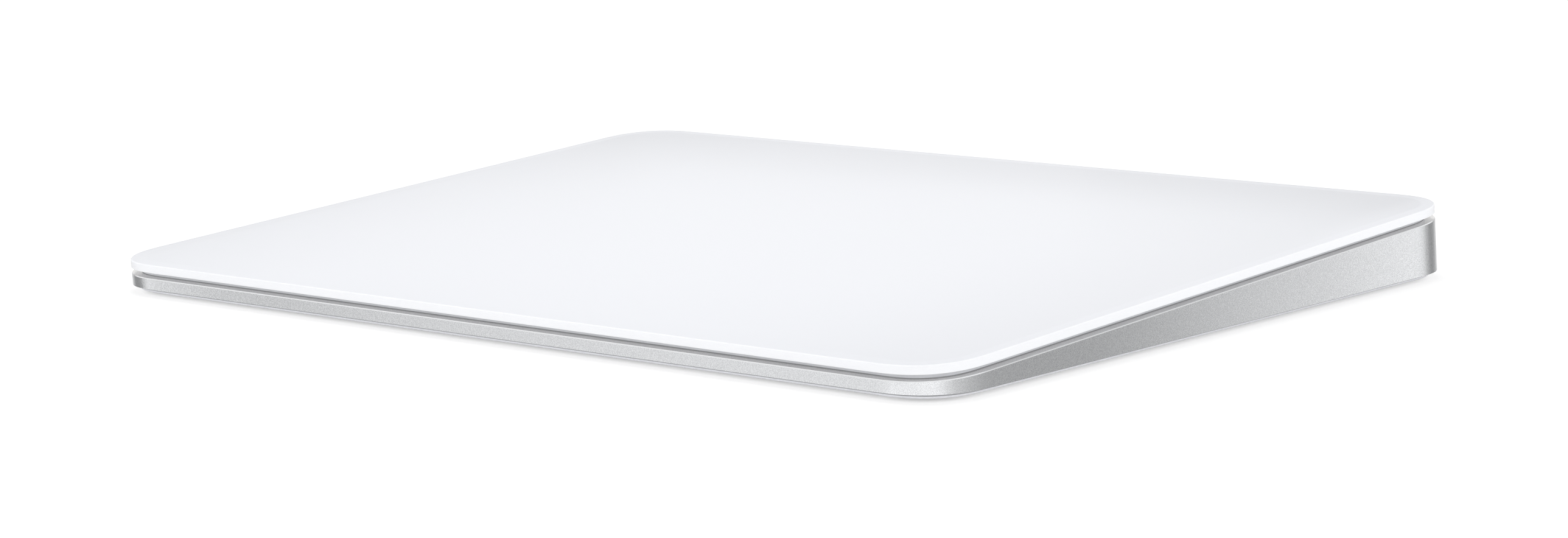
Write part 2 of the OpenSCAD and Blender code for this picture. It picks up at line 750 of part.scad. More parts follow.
// Ribbon that runs from a gauge over the side of its neck and up to the sensor board
module gauge_tail() {
  out_y = beam_y - beam_w / 2 - tail_out;
  rise = beam_dep - stiffener_dep;
  translate([neck_x - gauge_w / 2, out_y, 0]) cube([gauge_w, beam_y - gauge_w / 2 - out_y, gauge_t]);
  translate([neck_x - gauge_w / 2, out_y, 0]) cube([gauge_w, gauge_t, rise]);
  translate([neck_x - gauge_w / 2, out_y - tail_in, rise - gauge_t])
    cube([gauge_w, tail_in + gauge_t, gauge_t]);
}

module gauge_tails() {
  color("orange") deck(beam_dep) for (sx = sides, sy = sides) corner(sx, sy) gauge_tail();
}

module beam_screws() {
  color("lightgray") deck(beam_dep) for (sx = sides, sy = sides) corner(sx, sy) for (s = sides)
    translate([foot_screw_x, beam_y + s * beam_screw_pitch / 2, 0]) screw(beam_t + screw_bite);
}

module haptic_bracket() {
  color("lightslategray") deck(pad_dep) translate([0, haptic_y, 0]) difference() {
    linear_extrude(bracket_t) difference() {
      square([2 * bracket_x, 2 * yoke_half], center = true);
      square([2 * bar_x + bar_w / 2, 2 * window_half], center = true);
    }
    for (p = haptic_holes) translate([p.x, p.y, bracket_t]) screw_hole(bracket_t + weld);
  }
}

// E-shaped core on the right of the armature
module yoke() {
  deck(bracket_dep) translate([0, haptic_y, 0]) linear_extrude(yoke_t) {
    translate([bar_x, -yoke_half]) square([bar_w, 2 * yoke_half]);
    for (i = [-1:1]) translate([tooth_x, i * tooth_pitch - tooth_w / 2]) square([tooth_l + weld, tooth_w]);
  }
}

// Winding round the middle tooth of the core
module coil() {
  coil_y = tooth_w / 2 + coil_fit;
  coil_z = yoke_t / 2 + coil_fit;
  deck(yoke_dep + yoke_t / 2) translate([tooth_x + (tooth_l - coil_l) / 2, haptic_y, 0])
    rotate([90, 0, 90]) linear_extrude(coil_l) difference() {
      rounded(2 * (coil_y + coil_side), 2 * (coil_z + coil_wrap), coil_wrap);
      square([2 * coil_y, 2 * coil_z], center = true);
    }
}

module left_yoke() {
  color("gray") mirror([1, 0, 0]) yoke();
}

module right_yoke() {
  color("gray") yoke();
}

module left_coil() {
  color("peru") mirror([1, 0, 0]) coil();
}

module right_coil() {
  color("peru") coil();
}

module haptic_screws() {
  color("lightgray") deck(bracket_dep) translate([0, haptic_y, 0]) for (p = haptic_holes)
    translate([p.x, p.y, 0]) screw(bracket_t + haptic_bite);
}

module coil_flex() {
  start_x = bar_x - bar_w;
  start_y = level_y(haptic_y, pad_dep) - coil_flex_w / 2;
  end_y = coil_plug_y + coil_flex_w;
  color("darkorange") {
    translate([start_x, start_y, floor_z]) cube([lane_x + coil_flex_w - start_x, coil_flex_w, flex_t]);
    translate([lane_x, start_y, floor_z]) cube([coil_flex_w, end_y - start_y, flex_t]);
    translate([riser_x, coil_plug_y, floor_z]) cube([lane_x + coil_flex_w - riser_x, coil_flex_w, flex_t]);
    translate([riser_x, coil_plug_y, floor_z]) cube([flex_t, coil_flex_w, over_z + flex_t - floor_z]);
    translate([coil_plug_x, coil_plug_y, over_z])
      cube([riser_x + flex_t - coil_plug_x, coil_flex_w, flex_t]);
  }
}

module coil_plug() {
  color("black") translate([coil_plug_x - socket_d / 2, coil_plug_y, board_top])
    cube([socket_d / 2, coil_flex_w, socket_h]);
}

module battery_cell() {
  color("darkslategray") translate([cell_x, (battery_y0 + battery_y1) / 2, cell_z])
    linear_extrude(battery_t) rounded(battery_w, battery_d, battery_r);
}

module battery_strips() {
  color("beige") for (s = sides)
    translate([cell_x + s * strip_pitch / 2 - strip_w / 2, battery_y0 + strip_w / 2, floor_z])
      cube([strip_w, battery_d - strip_w, strip_t]);
}

module battery_circuit() {
  color("forestgreen") translate([circuit_x, battery_y0 + battery_r, floor_z])
    cube([circuit_w, battery_d - battery_r, strip_t + circuit_t]);
}

module battery_flex() {
  step_y = board_y0 - flex_gap - flex_t;
  start_y = battery_y1 - 2 * flex_lap;
  color("darkorange") translate([cell_plug_x - cell_flex_w / 2, 0, 0]) {
    translate([0, start_y, cell_flex_z]) cube([cell_flex_w, step_y + flex_t - start_y, flex_t]);
    translate([0, step_y, cell_flex_z]) cube([cell_flex_w, flex_t, over_z + flex_t - cell_flex_z]);
    translate([0, step_y, over_z]) cube([cell_flex_w, cell_plug_y - step_y, flex_t]);
  }
}

module battery_plug() {
  color("white") translate([cell_plug_x - cell_flex_w / 2, cell_plug_y, board_top])
    cube([cell_flex_w, socket_d, socket_h]);
}

module logic_board() {
  color("darkgreen") difference() {
    translate([board_x, board_y0, board_z]) cube([board_w, board_d, board_t]);
    translate([switch_x - guide_half - guide_room, board_y1 - notch_d, board_z - weld])
      cube([2 * (guide_half + guide_room), notch_d + weld, board_t + 2 * weld]);
    for (p = concat(board_holes, port_holes)) translate([p.x, p.y, board_top]) screw_hole(board_t + weld);
  }
}

// Main processor and charger in front of the port
module board_chips() {
  color("dimgray") translate([chip_gap, board_y0 + chip_gap, board_top]) {
    translate([-processor_w, 0, 0]) cube([processor_w, processor_w, chip_t]);
    translate([chip_gap, 0, 0]) cube([charger_w, charger_w, chip_t]);
  }
}

module radio_shield() {
  shield_x = clamp_half + clamp_ear + chip_gap;
  shield_w = switch_x - switch_body_l / 2 - chip_gap - shield_x;
  shield_d = board_d - notch_d - chip_gap;
  color("gainsboro") translate([shield_x, board_y0 + chip_gap / 2, board_top]) difference() {
    cube([shield_w, shield_d, shield_h]);
    translate([shield_t, shield_t, -weld])
      cube([shield_w - 2 * shield_t, shield_d - 2 * shield_t, shield_h - shield_t + weld]);
  }
}

module logic_socket() {
  color("black") translate([flex_x - socket_w / 2, socket_y, board_top]) cube([socket_w, socket_d, socket_h]);
}

// Ribbon that leaves one socket, turns through half a circle and enters the other
module sensor_flex() {
  run = socket_y - loop_y;
  color("darkorange") translate([flex_x - flex_w / 2, loop_y, lower_z]) rotate([90, 0, 90])
    linear_extrude(flex_w) {
      translate([0, -flex_t / 2]) square([run, flex_t]);
      translate([0, 2 * loop_r - flex_t / 2]) square([run - weld, flex_t]);
      translate([0, loop_r]) difference() {
        circle(loop_r + flex_t / 2);
        circle(loop_r - flex_t / 2);
        translate([0, -2 * loop_r]) square(4 * loop_r);
      }
    }
}

module board_screws() {
  color("lightgray") for (p = board_holes) translate([p.x, p.y, board_top]) screw(board_t + screw_bite);
}

// Free space through the floor and under the antenna
module antenna_hollow(h) {
  translate([antenna_wall, antenna_wall, 0])
    cube([antenna_l - 2 * antenna_wall, antenna_d - 2 * antenna_wall, h]);
}

module antenna_holder() {
  holder_h = board_top - floor_z;
  color("whitesmoke") translate([antenna_x, antenna_y, floor_z]) difference() {
    cube([antenna_l, antenna_d, holder_h]);
    translate([0, 0, -weld]) antenna_hollow(holder_h / 2 + weld);
  }
}

module antenna_flex() {
  color("darkorange") translate([antenna_x, antenna_y, board_top]) {
    cube([antenna_l + antenna_gap + antenna_track, antenna_track, flex_t]);
    cube([antenna_track, antenna_d, flex_t]);
    translate([0, antenna_d - antenna_track, 0]) cube([antenna_l - antenna_track, antenna_track, flex_t]);
  }
}

// Places a section of the charge port, with its axis along the way the plug goes in
module port_section(len, back) {
  translate([0, port_y - back, port_z]) rotate([90, 0, 0]) linear_extrude(len) children();
}

module port_shell() {
  color("lightgray") port_section(port_l, 0) difference() {
    stadium(port_w, port_h);
    stadium(port_w - 2 * port_t, port_h - 2 * port_t);
  }
}

module port_tongue() {
  color("black") {
    port_section(port_l - port_deep, port_deep) stadium(port_w - 2 * port_t, port_h - 2 * port_t);
    port_section(port_deep + weld - tongue_in, tongue_in) square([tongue_w, tongue_t], center = true);
  }
}

module port_contacts() {
  contact_l = port_deep - 3 * tongue_in;
  contact_w = contact_pitch * 0.6;
  color("gold") port_section(contact_l, 2 * tongue_in) for (i = [0:contact_count - 1], s = sides)
    translate([(i - (contact_count - 1) / 2) * contact_pitch, s * (tongue_t + contact_t) / 2])
      square([contact_w, contact_t], center = true);
}

module port_clamp() {
  clamp_top = port_h + port_fit;
  color("gainsboro") translate([0, clamp_y, board_top]) difference() {
    union() {
      translate([-clamp_half, 0, 0]) cube([2 * clamp_half, clamp_d, clamp_top + clamp_t]);
      translate([-clamp_half - clamp_ear, 0, 0]) cube([2 * (clamp_half + clamp_ear), clamp_d, clamp_t]);
    }
    translate([clamp_t - clamp_half, -weld, -weld])
      cube([2 * (clamp_half - clamp_t), clamp_d + 2 * weld, clamp_top + weld]);
    for (p = port_holes) translate([p.x, p.y - clamp_y, clamp_t]) screw_hole(clamp_t + weld);
  }
}

module port_screws() {
  color("lightgray") for (p = port_holes)
    translate([p.x, p.y, board_top + clamp_t]) screw(clamp_t + board_t + screw_bite);
}

module power_knob() {
  grip_h = slot_h - 2 * grip_fit;
  grip_out = wall_t - grip_recess;
  color("lightgray") at_switch() translate([knob_x, 0, 0]) {
    difference() {
      translate([0, grip_out, 0]) rotate([90, 0, 0]) linear_extrude(grip_out + flange_gap + weld)
        stadium(grip_l, grip_h);
      for (i = [0:groove_count - 1])
        translate([(2 * i - groove_count + 0.5) * groove_w, grip_out - groove_w, -grip_h / 4])
          cube([groove_w, groove_w + weld, grip_h / 2]);
    }
    translate([-flange_l / 2, flange_y, -flange_h / 2]) cube([flange_l, flange_t, flange_h]);
    for (s = sides)
      translate([s * (fork_half - prong_w / 2) - prong_w / 2, flange_y - prong_l, -lever_h / 2])
        cube([prong_w, prong_l + weld, lever_h]);
  }
}

module on_marker() {
  color("limegreen") at_switch()
    translate([knob_x - grip_l / 2 - grip_fit - knob_travel, -flange_gap, -slot_h / 2])
      cube([knob_travel, marker_t, slot_h]);
}

module switch_lever() {
  color("black") at_switch() translate([knob_x - lever_w / 2, lever_y, -lever_h / 2])
    cube([lever_w, flange_y - lever_fit - lever_y, lever_h]);
}

module switch_body() {
  color("gray") translate([switch_x - switch_body_l / 2, switch_body_y - switch_body_d, board_top])
    cube([switch_body_l, switch_body_d, switch_body_h]);
}

// Hat-shaped guide that holds the flange of the knob against the wall
module switch_guide() {
  window = knob_travel / 2 + fork_half + guide_room;
  window_h = lever_h + 2 * guide_room;
  leg_y = guide_y - guide_t;
  color("gainsboro") at_switch() difference() {
    translate([-guide_half, leg_y, -flange_h / 2]) cube([2 * guide_half, -leg_y, flange_h]);
    translate([-slide_half - guide_room, guide_y, -flange_h])
      cube([2 * (slide_half + guide_room), -guide_y + weld, 2 * flange_h]);
    translate([-window, leg_y - weld, -window_h / 2]) cube([2 * window, guide_t + 2 * weld, window_h]);
    for (s = sides) translate([s * guide_screw_x, leg_y, 0]) rotate([90, 0, 0]) screw_hole(weld - leg_y);
  }
}

module switch_screws() {
  seat_y = guide_y - guide_t;
  color("lightgray") at_switch() for (s = sides)
    translate([s * guide_screw_x, seat_y, 0]) rotate([90, 0, 0]) screw(screw_bite - seat_y);
}

wedge_frame();
base_plate();
base_film();
base_feet();
touch_glass();
glass_bond();
plate_carrier();
sensor_board();
plate_stiffener();
touch_chips();
sensor_socket();
armature();
armature_screws();
gel_pads();
load_buttons();
force_beam_front_left();
force_beam_front_right();
force_beam_rear_left();
force_beam_rear_right();
strain_gauges();
gauge_tails();
beam_screws();
haptic_bracket();
left_yoke();
right_yoke();
left_coil();
right_coil();
haptic_screws();
coil_flex();
coil_plug();
battery_cell();
battery_strips();
battery_circuit();
battery_flex();
battery_plug();
logic_board();
board_chips();
radio_shield();
logic_socket();
sensor_flex();
board_screws();
antenna_holder();
antenna_flex();
port_shell();
port_tongue();
port_contacts();
port_clamp();
port_screws();
power_knob();
on_marker();
switch_lever();
switch_body();
switch_guide();
switch_screws();
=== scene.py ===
"""Looks of a wedge-shaped desktop trackpad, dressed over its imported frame.

All sizes are millimetres in the fields and metres in the meshes. The part stands on z = 0 with its
thin edge at the front (-Y), and the glass slopes up towards the back.
"""

from __future__ import annotations

import json
import logging
import math
from bisect import bisect_right
from dataclasses import dataclass
from enum import Enum
from functools import cached_property
from typing import Any, Dict, Iterable, List, Optional, Sequence, Tuple, Union

import bmesh
import bpy
from mathutils import Matrix, Vector

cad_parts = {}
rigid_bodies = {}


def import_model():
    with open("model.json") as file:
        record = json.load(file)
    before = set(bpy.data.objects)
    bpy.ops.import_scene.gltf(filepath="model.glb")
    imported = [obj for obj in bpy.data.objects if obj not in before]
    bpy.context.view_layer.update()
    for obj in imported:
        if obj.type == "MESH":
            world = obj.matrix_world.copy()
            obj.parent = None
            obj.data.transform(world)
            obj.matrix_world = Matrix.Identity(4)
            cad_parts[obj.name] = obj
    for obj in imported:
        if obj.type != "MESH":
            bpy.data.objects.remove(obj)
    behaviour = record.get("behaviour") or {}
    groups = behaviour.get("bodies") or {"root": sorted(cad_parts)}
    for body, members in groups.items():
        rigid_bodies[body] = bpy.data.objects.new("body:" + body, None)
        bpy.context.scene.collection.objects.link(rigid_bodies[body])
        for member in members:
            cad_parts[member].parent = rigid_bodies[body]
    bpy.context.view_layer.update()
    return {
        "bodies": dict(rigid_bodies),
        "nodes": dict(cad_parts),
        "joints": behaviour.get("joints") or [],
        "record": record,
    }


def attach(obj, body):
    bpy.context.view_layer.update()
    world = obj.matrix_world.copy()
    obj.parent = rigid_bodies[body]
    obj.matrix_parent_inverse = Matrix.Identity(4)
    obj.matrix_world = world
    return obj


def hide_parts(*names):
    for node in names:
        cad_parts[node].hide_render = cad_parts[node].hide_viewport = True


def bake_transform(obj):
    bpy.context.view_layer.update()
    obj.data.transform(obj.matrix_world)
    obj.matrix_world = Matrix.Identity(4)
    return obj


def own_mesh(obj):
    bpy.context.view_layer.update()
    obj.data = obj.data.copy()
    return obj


LOG = logging.getLogger("trackpad")
MM = 0.001
WELD = 5e-7
SHARP_EDGE = math.radians(30.0)
NOISE_MEAN = 0.5
SMOOTH = 1.0
GRAIN_SPREAD = (0.25, 0.75)
WAVE_BAND = math.pi / 10.0
PHOTO_WIDTH = 2576
SENSOR_WIDTH = 36.0
RIGHT, BACK, UP = (1.0, 0.0, 0.0), (0.0, 1.0, 0.0), (0.0, 0.0, 1.0)
SLOPE = (0.0, -0.0524, 0.9986)
WHITE = (1.0, 1.0, 1.0)
CORNERS = ((1, 1), (-1, 1), (-1, -1), (1, -1))

Colour = Tuple[float, float, float]
Direction = Tuple[float, float, float]
Point = Tuple[float, float]
Range = Tuple[float, float]
Frame = Dict[str, Any]
Piece = bpy.types.Object
Work = bmesh.types.BMesh
Ring = List[bmesh.types.BMVert]
Rows = Sequence[Sequence[Vector]]


class Body(str, Enum):
    """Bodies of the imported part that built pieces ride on."""

    HOUSING = "housing"
    LOAD_POINTS = "load_points"
    TOUCH_PLATE = "touch_plate"


class Axis(Enum):
    """Direction that the fine lines of a surface run in, as texture stretch."""

    NONE = (1.0, 1.0, 1.0)
    ALONG_X = (0.06, 1.0, 1.0)
    ALONG_Y = (1.0, 0.06, 1.0)
    AROUND = (0.2, 0.2, 1.0)
    CREASED = (0.3, 1.0, 1.0)


class Wire:
    """An output socket that takes part in arithmetic: each operator adds one Math node."""

    def __init__(self, sheet: "NodeSheet", socket: Optional[bpy.types.NodeSocket]) -> None:
        """Keeps the sheet that the socket belongs to."""
        self.sheet = sheet
        self.socket = socket

    def _math(self, operation: str, first: "Value", second: "Value") -> "Wire":
        """Adds a Math node for two operands."""
        return self.sheet.node("ShaderNodeMath", {"operation": operation}, {0: first, 1: second})

    def __add__(self, other: "Value") -> "Wire":
        """Sum of two values."""
        return self._math("ADD", self, other)

    def __sub__(self, other: "Value") -> "Wire":
        """Difference of two values."""
        return self._math("SUBTRACT", self, other)

    def __rsub__(self, other: "Value") -> "Wire":
        """Difference with a plain number on the left."""
        return self._math("SUBTRACT", other, self)

    def __mul__(self, other: "Value") -> "Wire":
        """Product of two values."""
        return self._math("MULTIPLY", self, other)

    __radd__, __rmul__ = __add__, __mul__

    def __pow__(self, other: "Value") -> "Wire":
        """Power of a value."""
        return self._math("POWER", self, other)

    def __rpow__(self, other: "Value") -> "Wire":
        """Power of a plain number on the left."""
        return self._math("POWER", other, self)

    def at_most(self, other: "Value") -> "Wire":
        """The smaller of two values."""
        return self._math("MINIMUM", self, other)

    def at_least(self, other: "Value") -> "Wire":
        """The larger of two values."""
        return self._math("MAXIMUM", self, other)

    def rise(self, low: float, high: float) -> "Wire":
        """Smooth step from 0 at low to 1 at high."""
        sockets = {"Value": self, "From Min": low, "From Max": high}
        return self.sheet.node("ShaderNodeMapRange", {"interpolation_type": "SMOOTHSTEP"}, sockets)


Value = Union[float, int, Wire]
Input = Union[float, int, Wire, Sequence[float]]
Paint = Union[Wire, Colour]


class NodeSheet:
    """Node tree of one material or of the world, with a single way to add nodes."""

    COLOUR_A, COLOUR_B, COLOUR_OUT, DOT_OUT = 6, 7, 2, 1

    def __init__(self, tree: bpy.types.NodeTree) -> None:
        """Empties the tree."""
        self.tree = tree
        tree.nodes.clear()

    @classmethod
    def material(cls, name: str) -> Tuple[bpy.types.Material, "NodeSheet"]:
        """Makes a new material.

        Args:
            name: Name of the material.

        Returns:
            The material and its empty sheet.
        """
        made = bpy.data.materials.new(name)
        made.use_nodes = True
        return made, cls(made.node_tree)

    def node(
        self,
        kind: str,
        settings: Optional[Dict[str, Any]] = None,
        sockets: Optional[Dict[Union[int, str], Input]] = None,
        output: Union[int, str] = 0,
    ) -> Wire:
        """Adds a node, sets it up and joins its inputs.

        Args:
            kind: Blender's type name of the node.
            settings: Properties that are set first; "stops" holds a ramp's (place, colour) pairs.
            sockets: Values or wires for the node's inputs, by name or number.
            output: Which output to hand back.

        Returns:
            The chosen output.
        """
        made = self.tree.nodes.new(kind)
        for key, value in (settings or {}).items():
            if key == "stops":
                self._set_stops(made.color_ramp, value)
            else:
                setattr(made, key, value)
        for key, value in (sockets or {}).items():
            if isinstance(value, Wire):
                self.tree.links.new(value.socket, made.inputs[key])
            else:
                made.inputs[key].default_value = value
        return Wire(self, made.outputs[output] if len(made.outputs) else None)

    @staticmethod
    def _set_stops(ramp: bpy.types.ColorRamp, stops: Sequence[Tuple[float, Colour]]) -> None:
        """Sets a ramp's stops, at least two of them."""
        while len(ramp.elements) < len(stops):
            ramp.elements.new(1.0)
        for element, (place, colour) in zip(ramp.elements, stops):
            element.position = place
            element.color = (*colour, 1.0)

    def mix(self, factor: Value, first: Paint, second: Paint, blend: str = "MIX") -> Wire:
        """Lays a share of a second colour over the first."""
        pair = [c if isinstance(c, Wire) else (*c, 1.0) for c in (first, second)]
        return self.node(
            "ShaderNodeMix",
            {"data_type": "RGBA", "blend_type": blend},
            {0: factor, self.COLOUR_A: pair[0], self.COLOUR_B: pair[1]},
            self.COLOUR_OUT,
        )

    def place(self, axis: Axis = Axis.NONE) -> Wire:
        """Place on the piece, stretched for lines in a direction."""
        pair = {0: self.node("ShaderNodeTexCoord", output="Object"), 1: axis.value}
        return self.node("ShaderNodeVectorMath", {"operation": "MULTIPLY"}, pair)

    def noise(self, grain_mm: float, detail: float = 2.0, axis: Axis = Axis.NONE) -> Wire:
        """Soft noise from 0 to 1 of a given grain, with finer layers over it."""
        sockets = {"Vector": self.place(axis), "Scale": 1.0 / (grain_mm * MM), "Detail": detail}
        return self.node("ShaderNodeTexNoise", None, sockets)

    def bump(self, height: Wire, depth_mm: float, strength: float = 1.0) -> Wire:
        """Relief of a given depth."""
        sockets = {"Height": height, "Distance": depth_mm * MM, "Strength": strength}
        return self.node("ShaderNodeBump", None, sockets)

    def along(self, direction: Sequence[float], coordinate: str = "Object") -> Wire:
        """Length along a direction of a point in metres, or of another texture coordinate."""
        pair = {0: self.node("ShaderNodeTexCoord", output=coordinate), 1: direction}
        return self.node("ShaderNodeVectorMath", {"operation": "DOT_PRODUCT"}, pair, self.DOT_OUT)

    def inset(self, half_size: Point, radius: float) -> Wire:
        """Distance in from the edge of a rounded rectangle about the middle.

        Args:
            half_size: Half the rectangle's width and length in millimetres.
            radius: Radius of its corners in millimetres.

        Returns:
            The distance in metres, up to the radius, and below 0 outside.
        """
        over = []
        for axis, half in zip((RIGHT, BACK), half_size):
            way = self.along(axis)
            over.append((way.at_least(way * -1.0) - (half - radius) * MM).at_least(0.0))
        return radius * MM - (over[0] * over[0] + over[1] * over[1]) ** 0.5

    def surface(
        self, colour: Input, rough: Input, normal: Wire, more: Optional[Dict[str, Input]] = None
    ) -> None:
        """Ends the sheet in a Principled surface, with more inputs by name."""
        sockets = {"Base Color": colour, "Roughness": rough, "Normal": normal, **(more or {})}
        self.end(self.node("ShaderNodeBsdfPrincipled", None, sockets))

    def end(self, shader: Wire) -> None:
        """Makes a shader the material's surface."""
        self.node("ShaderNodeOutputMaterial", None, {"Surface": shader})


def tint(colour: Colour, gain: float) -> Colour:
    """A colour made lighter or darker, kept under white."""
    return tuple(min(1.0, c * gain) for c in colour)


@dataclass(frozen=True)
class Finish:
    """A surface finish that makes one material."""

    name: str
    colour: Colour
    rough: float = 0.5

    def make(self) -> bpy.types.Material:
        """Makes the material, or hands back the one made before.

        Returns:
            The finish's material.
        """
        name = f"finish_{self.name}"
        found = bpy.data.materials.get(name)
        if found:
            return found
        material, sheet = NodeSheet.material(name)
        self.paint(sheet)
        return material

    def paint(self, sheet: NodeSheet) -> None:
        """Draws the finish on an empty sheet."""
        raise NotImplementedError

    def graded(self, sheet: NodeSheet, grain: Wire, contrast: float) -> Wire:
        """The finish's colour, lighter and darker by a contrast with a grain from 0 to 1."""
        dark, pale = (tint(self.colour, 1.0 + change) for change in (-contrast, contrast))
        return sheet.mix(grain.rise(*GRAIN_SPREAD), dark, pale)

    def varied(self, grain: Wire, change: float) -> Wire:
        """The finish's roughness, varied by a change with a grain from 0 to 1."""
        return self.rough + (grain - NOISE_MEAN) * change


@dataclass(frozen=True)
class BlastedMetal(Finish):
    """Bead-blasted, anodised metal with bright cut edges."""

    grain_mm: float = 0.2
    detail: float = 4.0
    contrast: float = 0.05
    relief_mm: float = 0.004
    grain_rough: float = 0.08
    cloud_mm: float = 25.0
    cloud_rough: float = 0.04
    up: Direction = SLOPE
    cut_from: Range = (0.3, 0.45)
    cut_to: Range = (0.88, 0.97)
    bright: Colour = (0.8, 0.807, 0.82)
    polished: float = 0.08
    rim_from: Range = (0.97, 0.99)
    rim: Colour = WHITE

    def paint(self, sheet: NodeSheet) -> None:
        """Fine dull grain, with the chamfers between wall and rim polished and the rim tinted.

        Args:
            sheet: Sheet to draw on.
        """
        grain = sheet.noise(self.grain_mm, self.detail)
        cloud = sheet.noise(self.cloud_mm, SMOOTH)
        facing = sheet.along(self.up, "Normal")
        cut = facing.rise(*self.cut_from) * (1.0 - facing.rise(*self.cut_to))
        colour = sheet.mix(cut, self.graded(sheet, grain, self.contrast), self.bright)
        colour = sheet.mix(facing.rise(*self.rim_from), colour, self.rim, "MULTIPLY")
        rough = self.varied(grain, self.grain_rough) + (cloud - NOISE_MEAN) * self.cloud_rough
        rough = rough + cut * (self.polished - rough)
        sheet.surface(colour, rough, sheet.bump(grain, self.relief_mm), {"Metallic": 1.0})


@dataclass(frozen=True)
class CoatedGlass(Finish):
    """Etched glass over a white coat."""

    etch_mm: float = 0.12
    etch_rough: float = 0.06
    relief_mm: float = 0.0004
    relief: float = 0.6
    ior: float = 1.5
    cloud_mm: float = 60.0
    cloudy: float = 0.004
    half_size: Point = (80.0, 57.2)
    radius: float = 8.7
    border: Range = (1.68, 2.4)
    border_share: float = 0.5
    # How much darker the painted shade makes the top at its strongest.
    shade_depth: float = 0.115
    sides: Range = (0.4, 1.0)
    sides_share: float = 0.35
    back: Range = (0.5, 1.12)

    def paint(self, sheet: NodeSheet) -> None:
        """Satin top with painted shade towards the sides and the back, halved near the edge.

        Args:
            sheet: Sheet to draw on.
        """
        etch = sheet.noise(self.etch_mm)
        cloud = sheet.noise(self.cloud_mm, SMOOTH)
        across, along = sheet.along(RIGHT), sheet.along(BACK)
        half_x, half_y = (size * MM for size in self.half_size)
        # Painted shade: the top's colour darkens towards the sides and the back, only half as much
        # within about 2 mm of the edge.
        sides = (across * across).rise(*((share * half_x) ** 2 for share in self.sides))
        painted_shade = sides * self.sides_share + along.rise(*(share * half_y for share in self.back))
        inside = sheet.inset(self.half_size, self.radius).rise(*(edge * MM for edge in self.border))
        painted_shade = painted_shade.at_most(1.0) * (1.0 - self.border_share + inside * self.border_share)
        pale, shaded_tone = self.graded(sheet, cloud, self.cloudy), tint(self.colour, 1.0 - self.shade_depth)
        normal = sheet.bump(etch, self.relief_mm, self.relief)
        rough = self.varied(etch, self.etch_rough)
        sheet.surface(sheet.mix(painted_shade, pale, shaded_tone), rough, normal, {"IOR": self.ior})


@dataclass(frozen=True)
class Grained(Finish):
    """A surface with a fine grain and slow marks in it."""

    grain_mm: float = 0.15
    slow_mm: float = 18.0
    grain_share: float = 0.6
    axis: Axis = Axis.NONE
    contrast: float = 0.03
    vary: float = 0.1
    relief_mm: float = 0.003
    metallic: float = 0.0
    gloss: float = 0.5

    def paint(self, sheet: NodeSheet) -> None:
        """Colour that varies with the grain and the marks.

        Args:
            sheet: Sheet to draw on.
        """
        grain, slow = sheet.noise(self.grain_mm, axis=self.axis), sheet.noise(self.slow_mm)
        marks = grain * self.grain_share + slow * (1.0 - self.grain_share)
        self.coat(sheet, self.graded(sheet, marks, self.contrast), grain)

    def coat(self, sheet: NodeSheet, colour: Wire, grain: Wire) -> None:
        """Ends the sheet in a colour under the grain."""
        more = {"Metallic": self.metallic, "Specular IOR Level": self.gloss}
        sheet.surface(
            colour, self.varied(grain, self.vary), sheet.bump(grain, self.relief_mm), more
        )


@dataclass(frozen=True)
class CutGlass(Grained):
    """Ground edge of coated glass, backed by white, with faint lines of the grinding wheel."""

    grain_share: float = 1.0
    axis: Axis = Axis.AROUND
    contrast: float = 0.01
    vary: float = 0.08
    relief_mm: float = 0.0005
    gloss: float = 0.1


@dataclass(frozen=True)
class MouldedPlastic(Grained):
    """Moulded plastic, rubber or film with a fine spark-eroded skin."""


@dataclass(frozen=True)
class EdgeShadedPlastic(MouldedPlastic):
    """Moulded plastic with painted shade along the gap at its top and on its lower edge."""

    up: Direction = UP
    # Painted shade: heights in millimetres where the top band starts and where the lower edge ends,
    # and how dark both are.
    gap_shade_from: Range = (0.79, 0.82)
    foot_to: Range = (0.5, 0.52)
    gap_shade: float = 0.48
    flat_from: Range = (0.985, 0.998)

    def paint(self, sheet: NodeSheet) -> None:
        """Even skin in the middle and underneath, with painted shade as a dark line along the top
        and along the lower edge.

        Args:
            sheet: Sheet to draw on.
        """
        skin = sheet.noise(self.grain_mm)
        height = sheet.along(self.up)
        side = 1.0 - sheet.along([-part for part in self.up], "Normal").rise(*self.flat_from)
        # Painted shade: a dark line at the top, where the part meets the one above it, and along
        # the lower edge, except on faces that look straight down.
        gap_shade, foot = (height.rise(a * MM, b * MM) for a, b in (self.gap_shade_from, self.foot_to))
        line, plain = gap_shade.at_least(side - foot), self.graded(sheet, skin, self.contrast)
        self.coat(sheet, sheet.mix(line, plain, tint(self.colour, self.gap_shade)), skin)


@dataclass(frozen=True)
class RolledMetal(Grained):
    """Rolled, drawn or plated metal with fine lines along one axis and stains from handling."""

    grain_mm: float = 0.1
    slow_mm: float = 6.0
    grain_share: float = 0.7
    axis: Axis = Axis.ALONG_X
    contrast: float = 0.07
    vary: float = 0.2
    relief_mm: float = 0.001
    metallic: float = 1.0


